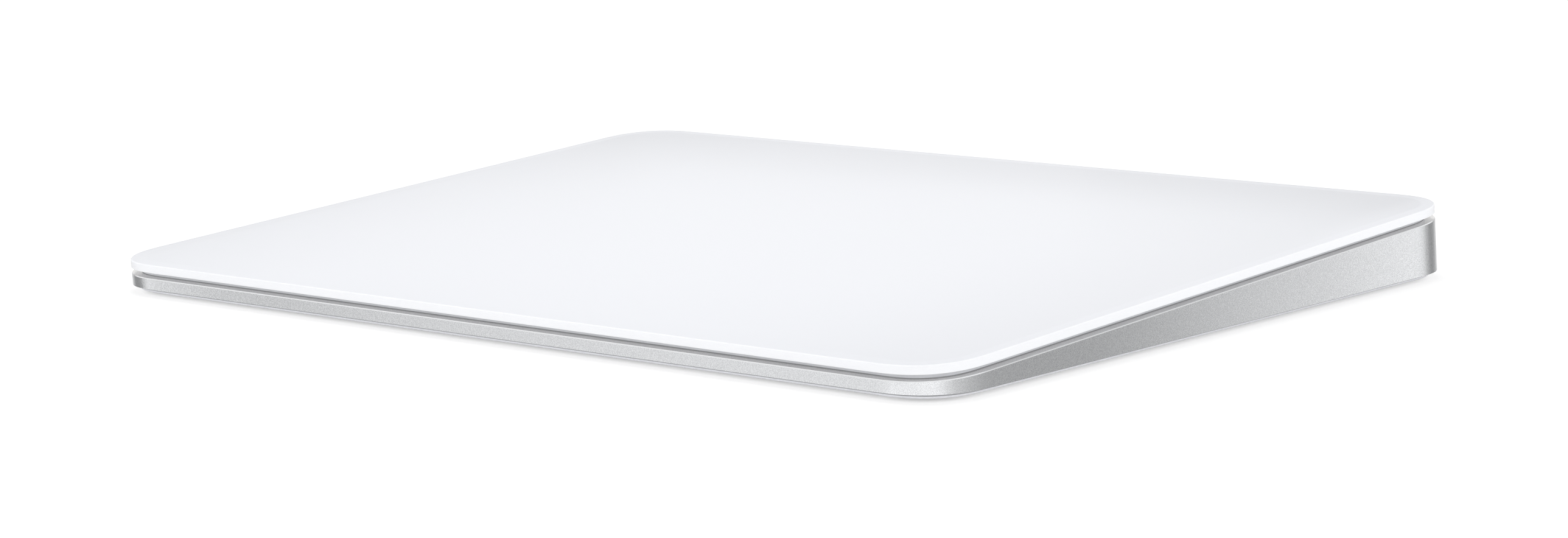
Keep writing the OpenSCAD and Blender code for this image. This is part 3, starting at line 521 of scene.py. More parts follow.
@dataclass(frozen=True)
class Layered(Finish):
    """Laminations, turns of wire or tracks of a cable: even bands across one axis."""

    second: Colour = (0.1, 0.1, 0.1)
    pitch_mm: float = 0.2
    bands: str = "Z"
    metallic: float = 1.0
    relief_mm: float = 0.02
    groove: Range = (0.1, 0.5)
    grime_mm: float = 1.5
    contrast: float = 0.05
    grime_rough: float = 0.1

    def paint(self, sheet: NodeSheet) -> None:
        """Bands of two colours with a shallow groove between them.

        Args:
            sheet: Sheet to draw on.
        """
        scale = WAVE_BAND / (self.pitch_mm * MM)
        sockets = {"Vector": sheet.place(), "Scale": scale, "Distortion": 0.0}
        wave = sheet.node("ShaderNodeTexWave", {"bands_direction": self.bands}, sockets, "Fac")
        grime = sheet.noise(self.grime_mm)
        band = self.graded(sheet, grime, self.contrast)
        colour = sheet.mix(wave.rise(*self.groove), self.second, band)
        rough = self.varied(grime, self.grime_rough)
        more = {"Metallic": self.metallic}
        sheet.surface(colour, rough, sheet.bump(wave, self.relief_mm), more)


@dataclass(frozen=True)
class PrintedBoard(Finish):
    """Lacquered circuit board with tracks and small plated holes."""

    track: Colour = (0.1, 0.3, 0.16)
    plating: Colour = (0.85, 0.68, 0.32)
    track_mm: float = 1.6
    track_width: float = 0.05
    track_length: float = 1.3
    track_shift: float = 0.37
    hole_mm: float = 2.4
    hole_edge: Range = (0.09, 0.13)
    hole_rough: float = 0.1
    cloud_mm: float = 8.0
    contrast: float = 0.08
    lacquer: float = 0.3
    relief_mm: float = 0.01

    def paint(self, sheet: NodeSheet) -> None:
        """Tracks as pale lines under the lacquer, and gold dots where holes are.

        Args:
            sheet: Sheet to draw on.
        """
        bricks = {
            "Vector": sheet.place(),
            "Scale": 1.0 / (self.track_mm * MM),
            "Color1": (0.0, 0.0, 0.0, 1.0),
            "Color2": (0.0, 0.0, 0.0, 1.0),
            "Mortar": (*WHITE, 1.0),
            "Mortar Size": self.track_width,
            "Brick Width": self.track_length,
        }
        shift = {"offset": self.track_shift, "squash": 1.0}
        lines = sheet.node("ShaderNodeTexBrick", shift, bricks, "Fac")
        cells = {"Vector": sheet.place(), "Scale": 1.0 / (self.hole_mm * MM)}
        dots = sheet.node("ShaderNodeTexVoronoi", None, cells, "Distance")
        hole = 1.0 - dots.rise(*self.hole_edge)
        plain = self.graded(sheet, sheet.noise(self.cloud_mm), self.contrast)
        colour = sheet.mix(hole, sheet.mix(lines, plain, self.track), self.plating)
        normal = sheet.bump(lines + hole, self.relief_mm)
        more = {"Metallic": hole, "Coat Weight": self.lacquer}
        sheet.surface(colour, self.rough - hole * self.hole_rough, normal, more)


@dataclass(frozen=True)
class FoilPouch(Finish):
    """Laminated foil of a flat cell, slightly creased."""

    crease_mm: float = 9.0
    crease_detail: float = 3.0
    crease_share: float = 0.7
    grain_mm: float = 0.3
    grain_rough: float = 0.12
    contrast: float = 0.06
    metallic: float = 0.6
    relief_mm: float = 0.15

    def paint(self, sheet: NodeSheet) -> None:
        """Creases along the cell and a dull rolled grain.

        Args:
            sheet: Sheet to draw on.
        """
        crease = sheet.noise(self.crease_mm, self.crease_detail, Axis.CREASED)
        grain = sheet.noise(self.grain_mm, SMOOTH, Axis.ALONG_X)
        marks = crease * self.crease_share + grain * (1.0 - self.crease_share)
        colour = self.graded(sheet, marks, self.contrast)
        rough = self.varied(grain, self.grain_rough)
        normal = sheet.bump(crease, self.relief_mm)
        sheet.surface(colour, rough, normal, {"Metallic": self.metallic})


ALUMINIUM = BlastedMetal(
    "blasted_aluminium",
    (0.868, 0.879, 0.9),
    0.24,
    grain_mm=0.13,
    contrast=0.12,
    relief_mm=0.01,
    rim=(1.0, 0.975, 0.94),
)
SHIELD_TIN = BlastedMetal("tinned_shield", (0.7, 0.7, 0.69), 0.42, grain_mm=0.12, relief_mm=0.002)
KNOB_METAL = BlastedMetal("knob_metal", (0.8, 0.805, 0.82), 0.36, grain_mm=0.12, relief_mm=0.002)
WHITE_GLASS = CoatedGlass("white_coated_glass", (0.84, 0.852, 0.89), 0.34)
CUT_GLASS = CutGlass("white_cut_glass", (0.96, 0.969, 0.997), 0.22)
CARRIER = MouldedPlastic(
    "carrier_grey", (0.78, 0.79, 0.82), 0.4, grain_mm=0.4, contrast=0.02, relief_mm=0.001
)
# The base plate gets painted shade in the gap under the frame and on its rounded lower edge.
BASE_PLASTIC = EdgeShadedPlastic("base_plastic", (0.9, 0.905, 0.94), 0.5, grain_mm=0.3)
# The seal gets painted shade along its foot on the rim; its top band lies above the seal.
SEAL_FOAM = EdgeShadedPlastic(
    "seal_foam",
    (0.8, 0.81, 0.84),
    0.8,
    grain_mm=0.2,
    gloss=0.2,
    up=SLOPE,
    gap_shade_from=(9.0, 9.1),
    foot_to=(5.93, 5.97),
    gap_shade=0.45,
)
FOOT_RUBBER = MouldedPlastic(
    "foot_rubber", (0.62, 0.63, 0.65), 0.8, grain_mm=0.25, relief_mm=0.01, gloss=0.3
)
ADHESIVE = MouldedPlastic("adhesive_film", (0.12, 0.12, 0.13), 0.7, grain_mm=0.5)
CHIP_BLACK = MouldedPlastic("chip_black", (0.03, 0.03, 0.033), 0.5, grain_mm=0.1)
BLACK_PLASTIC = MouldedPlastic("black_plastic", (0.04, 0.04, 0.043), 0.45)
WHITE_PLASTIC = MouldedPlastic("white_plastic", (0.78, 0.77, 0.72), 0.45)
SOFT_GEL = MouldedPlastic("soft_gel", (0.45, 0.55, 0.62), 0.25, grain_mm=1.0, gloss=0.6)
GREEN_MARKER = MouldedPlastic("green_marker", (0.12, 0.55, 0.16), 0.45)
SPRING_STEEL = RolledMetal("spring_steel", (0.62, 0.61, 0.59), 0.3)
SCREW_STEEL = RolledMetal("screw_steel", (0.5, 0.5, 0.51), 0.28, 0.2, axis=Axis.NONE)
GOLD_PLATE = RolledMetal("gold_plate", (0.94, 0.72, 0.34), 0.22, axis=Axis.ALONG_Y)
CORE_IRON = Layered("core_laminations", (0.36, 0.36, 0.38), 0.4, (0.08, 0.08, 0.085), 0.1, "Z")
COPPER_TURNS = Layered("copper_turns", (0.78, 0.36, 0.16), 0.3, (0.25, 0.08, 0.03), 0.16, "X")
AMBER_FLEX = Layered(
    "amber_flex", (0.62, 0.3, 0.05), 0.35, (0.36, 0.15, 0.02), 0.5, "X", 0.0, 0.004
)
GAUGE_FOIL = Layered("gauge_foil", (0.7, 0.55, 0.3), 0.35, (0.25, 0.16, 0.06), 0.2, "Y", 0.4, 0.002)
GREEN_BOARD = PrintedBoard("green_board", (0.02, 0.14, 0.07), 0.35)
CELL_FOIL = FoilPouch("cell_foil", (0.16, 0.165, 0.17), 0.38)


@dataclass(frozen=True)
class Deck:
    """The plane of the glass: places points by their depth below it, measured square to it."""

    front: float = 4.9
    back: float = 10.9
    width: float = 160.0
    length: float = 114.5
    radius: float = 8.7
    shift: float = -0.2545
    rim_depth: float = 2.05

    @property
    def sine(self) -> float:
        """Sine of the slope."""
        return (self.back - self.front) / self.length

    @property
    def cosine(self) -> float:
        """Cosine of the slope."""
        return math.sqrt(1.0 - self.sine**2)

    @property
    def middle(self) -> Vector:
        """Middle of the plane."""
        return Vector((0.0, self.shift, (self.front + self.back) / 2.0))

    def shrunk(self, inset: float) -> Tuple[float, float, float]:
        """Width, length and corner radius of the outline, set in."""
        return self.width - 2 * inset, self.length - 2 * inset, self.radius - inset

    def local(self, place: Vector) -> Vector:
        """Distance right, up the slope and below the glass of a point in metres."""
        way, c, s = place / MM - self.middle, self.cosine, self.sine
        return Vector((way.x, way.y * c + way.z * s, way.y * s - way.z * c))

    def point(self, x: float, y: float, depth: float) -> Vector:
        """Point in metres at a distance right, up the slope and below the glass."""
        way = Vector((x, y * self.cosine + depth * self.sine, y * self.sine - depth * self.cosine))
        return (self.middle + way) * MM


@dataclass(frozen=True)
class Corner:
    """Corner whose bend grows and fades slowly, through the same middle as a plain arc.

    Its points are measured from where the two sides would meet.
    """

    radius: float
    ease: float = 0.35
    steps: int = 30
    fine: int = 20

    @cached_property
    def trail(self) -> List[Point]:
        """Close points of the bend.

        Returns:
            The points, from the side along y to the side along x.
        """
        count = self.steps * self.fine
        turn, x, y = 0.0, 0.0, 0.0
        trail = [(x, y)]
        for i in range(count):
            share = (i + 0.5) / count
            bend = min(share / self.ease, 1.0, (1.0 - share) / self.ease) / (1.0 - self.ease)
            step = math.pi / 2.0 * bend / count
            x -= math.sin(turn + step / 2.0)
            y += math.cos(turn + step / 2.0)
            turn += step
            trail.append((x, y))
        size = self.radius * (1.0 - math.sqrt(0.5)) / -trail[count // 2][0]
        return [(x * size, (y - trail[-1][1]) * size) for x, y in trail]

    @property
    def path(self) -> List[Point]:
        """Points for an outline, from the side along y to the side along x."""
        return self.trail[:: self.fine]

    @property
    def reach(self) -> float:
        """How far from the meeting point of the sides the bend starts."""
        return -self.trail[0][1]

    @cached_property
    def rays(self) -> List[Point]:
        """Angle and distance of the close points, seen from where both ends' normals meet."""
        spots = [(x + self.reach, y + self.reach) for x, y in self.trail]
        return [(math.atan2(y, x), math.hypot(x, y)) for x, y in spots]

    def onto(self, x: float, y: float, inset: float) -> Point:
        """Moves a point along its ray onto the corner.

        Args:
            x: Place of the point, from the meeting point of the sides.
            y: Likewise.
            inset: How far in from the corner it ends.

        Returns:
            The point's new place.
        """
        angle = math.atan2(y + self.reach, x + self.reach)
        place = bisect_right(self.rays, (angle, 0.0))
        if not 0 < place < len(self.rays):
            return x, y
        (first, near), (last, far) = self.rays[place - 1 : place + 1]
        distance = near + (far - near) * (angle - first) / (last - first) - inset
        return distance * math.cos(angle) - self.reach, distance * math.sin(angle) - self.reach


class Shop:
    """Mesh work that several sub-assemblies share."""

    @staticmethod
    def outline(width: float, depth: float, radius: float) -> List[Point]:
        """Rounded rectangle about the middle, counter-clockwise.

        Args:
            width: Size along x.
            depth: Size along y.
            radius: Corner radius.

        Returns:
            The outline's points.
        """
        points = []
        trail = Corner(radius).path
        for sx, sy in CORNERS:
            points += [(sx * width / 2.0 + x, sy * depth / 2.0 + y) for x, y in trail]
            trail = [(-y, x) for x, y in trail]
        return points

    @staticmethod
    def loft(name: str, rows: Rows, closed_loop: bool = False) -> Piece:
        """Closed solid through rings of points.

        Args:
            name: Name of the piece.
            rows: Rings with the same number of points each.
            closed_loop: Whether the last ring joins the first, instead of two end faces.

        Returns:
            The new object.
        """
        work = bmesh.new()
        rings = Shop.skin(work, rows)
        if closed_loop:
            Shop.bridge(work, rings[-1], rings[0])
        else:
            work.faces.new(rings[0])
            work.faces.new(rings[-1])
        return Shop.finish(name, work)

    @staticmethod
    def bridge(work: Work, first: Ring, second: Ring) -> None:
        """Joins two rings, with as many points each, with faces."""
        for corners in zip(first, first[1:] + first[:1], second[1:] + second[:1], second):
            work.faces.new(corners)

    @staticmethod
    def skin(work: Work, rows: Rows) -> List[Ring]:
        """Open skin through rings of points.

        Args:
            work: Mesh work to add to.
            rows: Rings with the same number of points each.

        Returns:
            The rings' vertices.
        """
        rings = [[work.verts.new(point) for point in row] for row in rows]
        for first, second in zip(rings, rings[1:]):
            Shop.bridge(work, first, second)
        return rings

    @staticmethod
    def circle(spot: Point, radius: float, height: float, steps: int = 64) -> List[Vector]:
        """Level circle of points in metres, about a spot."""
        turns = [2.0 * math.pi * i / steps for i in range(steps)]
        return [
            Vector((spot[0] + radius * math.cos(a), spot[1] + radius * math.sin(a), height)) * MM
            for a in turns
        ]

    @staticmethod
    def rounding(radius: float, steps: int = 6) -> List[Point]:
        """Quarter round as (inset, rise) pairs, from the side down to the lower face."""
        turns = [math.pi / 2.0 * i / steps for i in range(steps + 1)]
        return [(radius * (1.0 - math.cos(a)), radius * (1.0 - math.sin(a))) for a in turns]

    @staticmethod
    def joined(node: Piece) -> Work:
        """Joined-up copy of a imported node's mesh.

        Args:
            node: The node's object.

        Returns:
            The copy as mesh work.
        """
        work = bmesh.new()
        corners = [work.verts.new(vertex.co) for vertex in node.data.vertices]
        for face in node.data.polygons:
            work.faces.new([corners[i] for i in face.vertices])
        bmesh.ops.remove_doubles(work, verts=work.verts, dist=WELD)
        return work

    @staticmethod
    def finish(name: str, work: Work) -> Piece:
        """Turns finished mesh work into an object.

        Args:
            name: Name of the piece.
            work: Mesh work, which is freed.

        Returns:
            The new object, in the scene.
        """
        bmesh.ops.recalc_face_normals(work, faces=work.faces)
        mesh = bpy.data.meshes.new(name)
        work.to_mesh(mesh)
        work.free()
        mesh.shade_smooth()
        mesh.set_sharp_from_angle(angle=SHARP_EDGE)
        piece = bpy.data.objects.new(name, mesh)
        bpy.context.scene.collection.objects.link(piece)
        return piece


class Assembly:
    """A group of pieces that are built and dressed together."""

    body: Body = Body.HOUSING
    packed: Dict[str, Finish] = {}

    def build(self, frame: Frame) -> None:
        """Builds the group's own meshes."""

    def dress(self, frame: Frame) -> None:
        """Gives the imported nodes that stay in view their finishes.
        """
        for name, finish in self.packed.items():
            node = frame["nodes"][name]
            if not node.material_slots:
                node.data.materials.append(None)
            for slot in node.material_slots:
                slot.material = finish.make()
            LOG.info("%s: %s", name, finish.name)

    def add(self, piece: Piece, finish: Finish, slot: str, *nodes: str) -> None:
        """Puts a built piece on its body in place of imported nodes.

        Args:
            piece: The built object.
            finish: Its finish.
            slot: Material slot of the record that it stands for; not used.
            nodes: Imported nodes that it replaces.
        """
        piece.data.materials.append(finish.make())
        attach(piece, self.body.value)
        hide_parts(*nodes)
        LOG.info("%s: %s in place of %s", piece.name, finish.name, ", ".join(nodes))

    def add_ribbon(self, node: Piece, name: str, low: Vector, high: Vector) -> None:
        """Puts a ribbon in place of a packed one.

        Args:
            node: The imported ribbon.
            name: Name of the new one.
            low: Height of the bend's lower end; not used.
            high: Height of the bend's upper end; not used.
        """
        ribbon = Shop.finish(name, Shop.joined(node))
        ribbon.data.materials.append(AMBER_FLEX.make())
        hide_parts(node.name)
        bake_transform(ribbon)
        LOG.info("%s: %s in place of %s", name, AMBER_FLEX.name, node.name)


@dataclass
class TouchPlate(Assembly):
    """Glass, carrier ring and what is stuck under the glass."""

    deck: Deck = Deck()
    glass: float = 1.2
    chamfer: float = 0.15
    soft: float = 0.02
    soft_share: float = 0.3
    ring_inset: float = 1.5
    ring_width: float = 2.3
    ring_depth: float = 1.85
    top_normal: float = 0.9
    seal_inset: float = 0.05
    seal_width: float = 0.8
    seal_free: float = 0.005
    seal_keep: float = 0.2
    body = Body.TOUCH_PLATE
    packed = {
        "glass_bond": ADHESIVE,
        "sensor_board": GREEN_BOARD,
        "plate_stiffener": SPRING_STEEL,
        "touch_chips": CHIP_BLACK,
        "sensor_socket": BLACK_PLASTIC,
        "armature": CORE_IRON,
        "armature_screws": SCREW_STEEL,
    }

    def ring(self, inset: float, depth: float) -> List[Vector]:
        """Outline of the plate, set in from the glass edge and sunk below the glass."""
        outline = Shop.outline(*self.deck.shrunk(inset))
        return [self.deck.point(x, y, depth) for x, y in outline]

    def build(self, frame: Frame) -> None:
        """Builds the glass slab, the carrier ring and the seal under it.
        """
        c, s, t = self.chamfer, self.soft, self.glass
        bend = s * self.soft_share
        profile = [(c + s, 0.0), (c, bend), (bend, c), (0.0, c + s), (0.0, t - s), (s, t)]
        slab = Shop.loft("glass_slab", [self.ring(inset, depth) for inset, depth in profile])
        self.add(slab, WHITE_GLASS, "white_glass", "touch_glass")
        slab.data.materials.append(CUT_GLASS.make())
        for face in slab.data.polygons:
            face.material_index = int(face.normal.z < self.top_normal)
        inner = self.ring_inset + self.ring_width
        profile = [
            (self.ring_inset, t),
            (self.ring_inset, self.ring_depth - s),
            (self.ring_inset + s, self.ring_depth),
            (inner, self.ring_depth),
            (inner, t),
        ]
        ring = Shop.loft("carrier_ring", [self.ring(*level) for level in profile], True)
        self.add(ring, CARRIER, "carrier_plastic", "plate_carrier")
        self.build_seal()

    def build_seal(self) -> None:
        """Lays a foam strip on the rim that keeps dust out of the gap under the carrier ring."""
        near = self.ring_inset + self.seal_inset
        far = near + self.seal_width
        top, low = self.ring_depth + self.seal_free, self.deck.rim_depth
        profile = [(near, low), (near, top), (far, top), (far, low)]
        seal = Shop.loft("dust_seal", [self.ring(*level) for level in profile], True)
        seal.data.materials.append(SEAL_FOAM.make())
        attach(seal, Body.HOUSING.value)
        axis = self.deck.point(0.0, 0.0, 0.0) - self.deck.point(0.0, 0.0, 1.0)
        seat = self.deck.point(0.0, 0.0, low)
        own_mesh(seal)
        LOG.info("%s: %s", seal.name, SEAL_FOAM.name)


@dataclass
class Housing(Assembly):
    """Aluminium frame, base plate and feet."""

    deck: Deck = Deck()
    rim_edge: float = 0.12
    skin: float = 0.2
    cuts: int = 30
    base_width: float = 157.7
    base_length: float = 112.3576
    base_radius: float = 7.55
    base_y: float = 0.0971
    base_low: float = 0.5
    base_high: float = 1.1
    base_round: float = 0.22
    lip: float = 0.04
    foot_spread: Point = (66.0, 43.25)
    foot_radius: float = 5.0
    foot_fit: float = 0.1
    foot_top: float = 0.75
    foot_round: float = 0.2
    packed = {"base_film": ADHESIVE}

    @property
    def foot_places(self) -> List[Point]:
        """Middles of the feet."""
        x, y = self.foot_spread
        return [(side_x * x, side_y * y + self.base_y) for side_x, side_y in CORNERS]

    def base_ring(self, inset: float, height: float) -> List[Vector]:
        """Level outline of the base plate, set in from its edge."""
        flat = Shop.outline(
            self.base_width - 2 * inset, self.base_length - 2 * inset, self.base_radius - inset
        )
        return [Vector((x, y + self.base_y, height)) * MM for x, y in flat]

    def build(self, frame: Frame) -> None:
        """Builds the base plate, its feet and the frame with eased corners.
        """
        self.add(self.build_base(), BASE_PLASTIC, "base_plastic", "base_plate")
        self.add(self.build_feet(), FOOT_RUBBER, "foot_rubber", "base_feet")
        self.add(self.build_shell(frame["nodes"]["wedge_frame"]), ALUMINIUM, "alu", "wedge_frame")

    def inset(self, spot: Vector) -> float:
        """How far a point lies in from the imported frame's outline.

        Args:
            spot: The point, measured on the deck.

        Returns:
            The distance, below 0 outside.
        """
        x = abs(spot.x) - self.deck.width / 2.0 + self.deck.radius
        y = abs(spot.y) - self.deck.length / 2.0 + self.deck.radius
        return self.deck.radius - (math.hypot(x, y) if min(x, y) > 0.0 else max(x, y))

    def build_shell(self, node: Piece) -> Piece:
        """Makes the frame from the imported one, with its outer corners eased.

        Args:
            node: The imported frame.

        Returns:
            The new object.
        """
        work = Shop.joined(node)
        corner = Corner(self.deck.radius)
        for side_x in (1.0, -1.0):
            for side_y in (1.0, -1.0):
                self.ease_corner(work, corner, (side_x, side_y))
        return Shop.finish("frame_shell", work)

    def ease_corner(self, work: Work, corner: Corner, sides: Point) -> None:
        """Cuts the outer skin of one corner into strips and moves it onto the eased outline.

        Args:
            work: Mesh work of the frame.
            corner: The eased corner.
            sides: 1 for a corner on the right, or -1, and 1 for a corner at the back, or -1.
        """
        side_x, side_y = sides
        half_x, half_y = self.deck.width / 2.0, self.deck.length / 2.0

        def from_meeting(vertex: bmesh.types.BMVert) -> Optional[Point]:
            """Finds where an outer vertex of this corner lies.

            Args:
                vertex: Any vertex of the frame.

            Returns:
                Its place from the meeting point of the sides, or None for any other vertex.
            """
            spot = self.deck.local(vertex.co)
            x, y = side_x * spot.x - half_x, side_y * spot.y - half_y
            inside = min(x, y) > -corner.reach - self.skin / 2.0
            return (x, y) if inside and self.inset(spot) < self.skin else None

        pivot = (side_x * (half_x - corner.reach), side_y * (half_y - corner.reach))
        for cut in range(self.cuts + 1):
            angle = math.pi / 2.0 * cut / self.cuts
            across = (-side_x * math.sin(angle), side_y * math.cos(angle))
            start = self.deck.point(*pivot, 0.0)
            normal = self.deck.point(pivot[0] + across[0], pivot[1] + across[1], 0.0) - start
            outer = {v for v in work.verts if self.inset(self.deck.local(v.co)) < self.skin}
            corner_verts = {v for v in outer if from_meeting(v)}
            skin = [f for f in work.faces if outer.issuperset(f.verts)]
            faces = [f for f in skin if not corner_verts.isdisjoint(f.verts)]
            edges = {e for f in faces for e in f.edges}
            verts = {v for f in faces for v in f.verts}
            parts = [*verts, *edges, *faces]
            normal.normalize()
            bmesh.ops.bisect_plane(work, geom=parts, dist=WELD, plane_co=start, plane_no=normal)
        for vertex in work.verts:
            place = from_meeting(vertex)
            if place:
                spot = self.deck.local(vertex.co)
                edge = max(0.0, self.deck.rim_depth + self.rim_edge - spot.z)
                x, y = corner.onto(*place, edge)
                vertex.co = self.deck.point(side_x * (half_x + x), side_y * (half_y + y), spot.z)

    def build_base(self) -> Piece:
        """Makes the base plate, with a rounded lower edge and a recess for each foot.

        Returns:
            The new object.
        """
        work = bmesh.new()
        lower = [(inset, self.base_low + rise) for inset, rise in Shop.rounding(self.base_round)]
        profile = [(self.lip, self.base_high), (0.0, self.base_high - self.lip)] + lower
        rings = Shop.skin(work, [self.base_ring(*level) for level in profile])
        work.faces.new(rings[0])
        rims = [rings[-1]]
        radius, low = self.foot_radius + self.foot_fit, self.base_low
        levels = [(radius + self.lip, low), (radius, low + self.lip), (radius, self.foot_top)]
        for place in self.foot_places:
            recess = Shop.skin(work, [Shop.circle(place, *level) for level in levels])
            work.faces.new(recess[-1])
            rims.append(recess[0])
        edges = [work.edges.get((rim[i - 1], rim[i])) for rim in rims for i in range(len(rim))]
        bmesh.ops.triangle_fill(work, use_beauty=True, edges=edges)
        return Shop.finish("base_pan", work)

    def build_feet(self) -> Piece:
        """Makes the four feet, each a disc with a rounded lower edge.

        Returns:
            The new object.
        """
        work = bmesh.new()
        radius, top = self.foot_radius, self.foot_top
        lower = [(radius - inset, rise) for inset, rise in Shop.rounding(self.foot_round)]
        profile = [(radius - self.lip, top), (radius, top - self.lip)] + lower
        for place in self.foot_places:
            rings = Shop.skin(work, [Shop.circle(place, *level) for level in profile])
            work.faces.new(rings[0])
            work.faces.new(rings[-1])
        return Shop.finish("foot_discs", work)


@dataclass
class ForceBeams(Assembly):
    """Beams that carry the plate, with their gauges and buttons."""

    deck: Deck = Deck()
    bend_depths: Range = (2.8, 1.9)
    packed = {
        "force_beam_front_left": SPRING_STEEL,
        "force_beam_front_right": SPRING_STEEL,
        "force_beam_rear_left": SPRING_STEEL,
        "force_beam_rear_right": SPRING_STEEL,
        "strain_gauges": GAUGE_FOIL,
        "beam_screws": SCREW_STEEL,
        "gel_pads": SOFT_GEL,
        "load_buttons": SPRING_STEEL,
    }

    def build(self, frame: Frame) -> None:
        """Makes the ribbons that run from the gauges up to the sensor board."""
        low, high = (self.deck.point(0.0, 0.0, depth) for depth in self.bend_depths)
        self.add_ribbon(frame["nodes"]["gauge_tails"], "gauge_ribbons", low, high)


@dataclass
class HapticEngine(Assembly):
    """Fixed half of the engine that shakes the plate."""

    packed = {
        "haptic_bracket": SPRING_STEEL,
        "left_yoke": CORE_IRON,
        "right_yoke": CORE_IRON,
        "left_coil": COPPER_TURNS,
        "right_coil": COPPER_TURNS,
        "haptic_screws": SCREW_STEEL,
        "coil_flex": AMBER_FLEX,
        "coil_plug": WHITE_PLASTIC,
    }


@dataclass
class Battery(Assembly):
    """Flat cell with its circuit and cable."""

    packed = {
        "battery_cell": CELL_FOIL,
        "battery_strips": ADHESIVE,
        "battery_circuit": GREEN_BOARD,
        "battery_flex": AMBER_FLEX,
        "battery_plug": WHITE_PLASTIC,
    }


@dataclass
class LogicBoard(Assembly):
    """Main board, the radio and its antenna."""

    loop_heights: Range = (4.1, 7.6)
    packed = {
        "logic_board": GREEN_BOARD,
        "board_chips": CHIP_BLACK,
        "radio_shield": SHIELD_TIN,
        "logic_socket": BLACK_PLASTIC,
        "board_screws": SCREW_STEEL,
        "antenna_holder": WHITE_PLASTIC,
        "antenna_flex": GAUGE_FOIL,
    }

    def build(self, frame: Frame) -> None:
        """Makes the ribbon that loops from the main board up to the sensor board."""
        low, high = (Vector((0.0, 0.0, height)) * MM for height in self.loop_heights)
        self.add_ribbon(frame["nodes"]["sensor_flex"], "sensor_ribbon", low, high)


@dataclass
class ChargePort(Assembly):
    """Receptacle in the middle of the back wall."""

    packed = {
        "port_shell": SHIELD_TIN,
        "port_tongue": BLACK_PLASTIC,
        "port_contacts": GOLD_PLATE,
        "port_clamp": SPRING_STEEL,
        "port_screws": SCREW_STEEL,
    }


@dataclass
class PowerSwitch(Assembly):
    """Sliding knob in the back wall and the switch behind it."""

    packed = {
        "power_knob": KNOB_METAL,
        "on_marker": GREEN_MARKER,
        "switch_lever": BLACK_PLASTIC,
        "switch_body": SHIELD_TIN,
        "switch_guide": BLACK_PLASTIC,
        "switch_screws": SCREW_STEEL,
    }


@dataclass
class PhotoCamera:
    """Camera at the photograph's place, found from the part's edges."""

    azimuth: float = 42.646
    elevation: float = 9.4161
    roll: float = -1.8989
    distance: float = 603.98
    target: Tuple[float, float, float] = (-5.0944, 8.3548, 0.49)
    focal_pixels: float = 6760.4
    clip: Range = (10.0, 20000.0)

    def build(self) -> None:
        """Adds the camera and makes it the scene's own."""
        az, el, ro = (math.radians(a) for a in (self.azimuth, self.elevation, self.roll))
        away = Vector((math.sin(az) * math.cos(el), -math.cos(az) * math.cos(el), math.sin(el)))
        level = Vector((math.cos(az), math.sin(az), 0.0))
        rise = away.cross(level)
        right = level * math.cos(ro) + rise * math.sin(ro)
        up = rise * math.cos(ro) - level * math.sin(ro)
        data = bpy.data.cameras.new("photo_camera")
        data.sensor_fit = "HORIZONTAL"
        data.sensor_width = SENSOR_WIDTH
        data.lens = self.focal_pixels * SENSOR_WIDTH / PHOTO_WIDTH
        data.clip_start, data.clip_end = (reach * MM for reach in self.clip)
        camera = bpy.data.objects.new("photo_camera", data)
        bpy.context.scene.collection.objects.link(camera)
        turn = Matrix((right, up, away)).transposed().to_4x4()
        place = Vector(self.target) * MM + away * self.distance * MM
        camera.matrix_world = Matrix.Translation(place) @ turn
        bpy.context.scene.camera = camera


@dataclass(frozen=True)
class Card:
    """A card beside the set that only shows in reflections, with (place, level) pairs along it."""

    name: str
    start: Point
    end: Point
    levels: Tuple[Point, ...]
    low: float = -160.0
    high: float = 40.0

    def build(self) -> None:
        """Stands the card up, with its levels from start to end."""
        first, last = Vector(self.start) * MM, Vector(self.end) * MM
        work = bmesh.new()
        corners = [(first, self.low), (last, self.low), (last, self.high), (first, self.high)]
        work.faces.new([work.verts.new((p.x, p.y, z * MM)) for p, z in corners])
        card = Shop.finish(self.name, work)
        material, sheet = NodeSheet.material(self.name)
        span = (last - first) / (last - first).length_squared
        share = sheet.along((span.x, span.y, 0.0)) - first.dot(span)
        stops = [(place, (level, level, level)) for place, level in self.levels]
        grey = sheet.node("ShaderNodeValToRGB", {"stops": stops}, {"Fac": share})
        glow = sheet.node("ShaderNodeEmission", None, {"Color": grey, "Strength": 1.0})
        sheet.end(glow)
        card.data.materials.append(material)
        for ray in ("camera", "diffuse", "transmission", "shadow"):
            setattr(card, f"visible_{ray}", False)


RIGHT_CARD = Card(
    "right_card",
    (140.0, -100.0),
    (140.0, 140.0),
    (
        (0.0, 1.0), (0.19, 0.62), (0.53, 0.35), (0.65, 0.36), (0.76, 0.62), (0.87, 0.68),
        (0.92, 0.56), (0.94, 0.72), (0.965, 1.6), (0.99, 1.6), (1.0, 1.4),
    ),
)
REAR_CARD = Card(
    "rear_card",
    (-60.0, 150.0),
    (140.0, 140.0),
    (
        (0.0, 0.91), (0.2, 0.87), (0.45, 0.855), (0.535, 0.79), (0.6125, 0.65), (0.6815, 0.41),
        (0.7435, 0.28), (0.8, 0.24), (0.852, 0.27), (0.9, 0.43), (0.9415, 0.65), (0.9765, 0.88),
        (1.0, 1.2),
    ),
)
UPPER_CARD = Card(
    "upper_card",
    (100.0, 150.0),
    (160.0, 150.0),
    ((0.0, 1.0), (0.13, 0.96), (0.37, 0.85), (0.68, 0.77), (1.0, 0.7)),
    60.0,
    300.0,
)
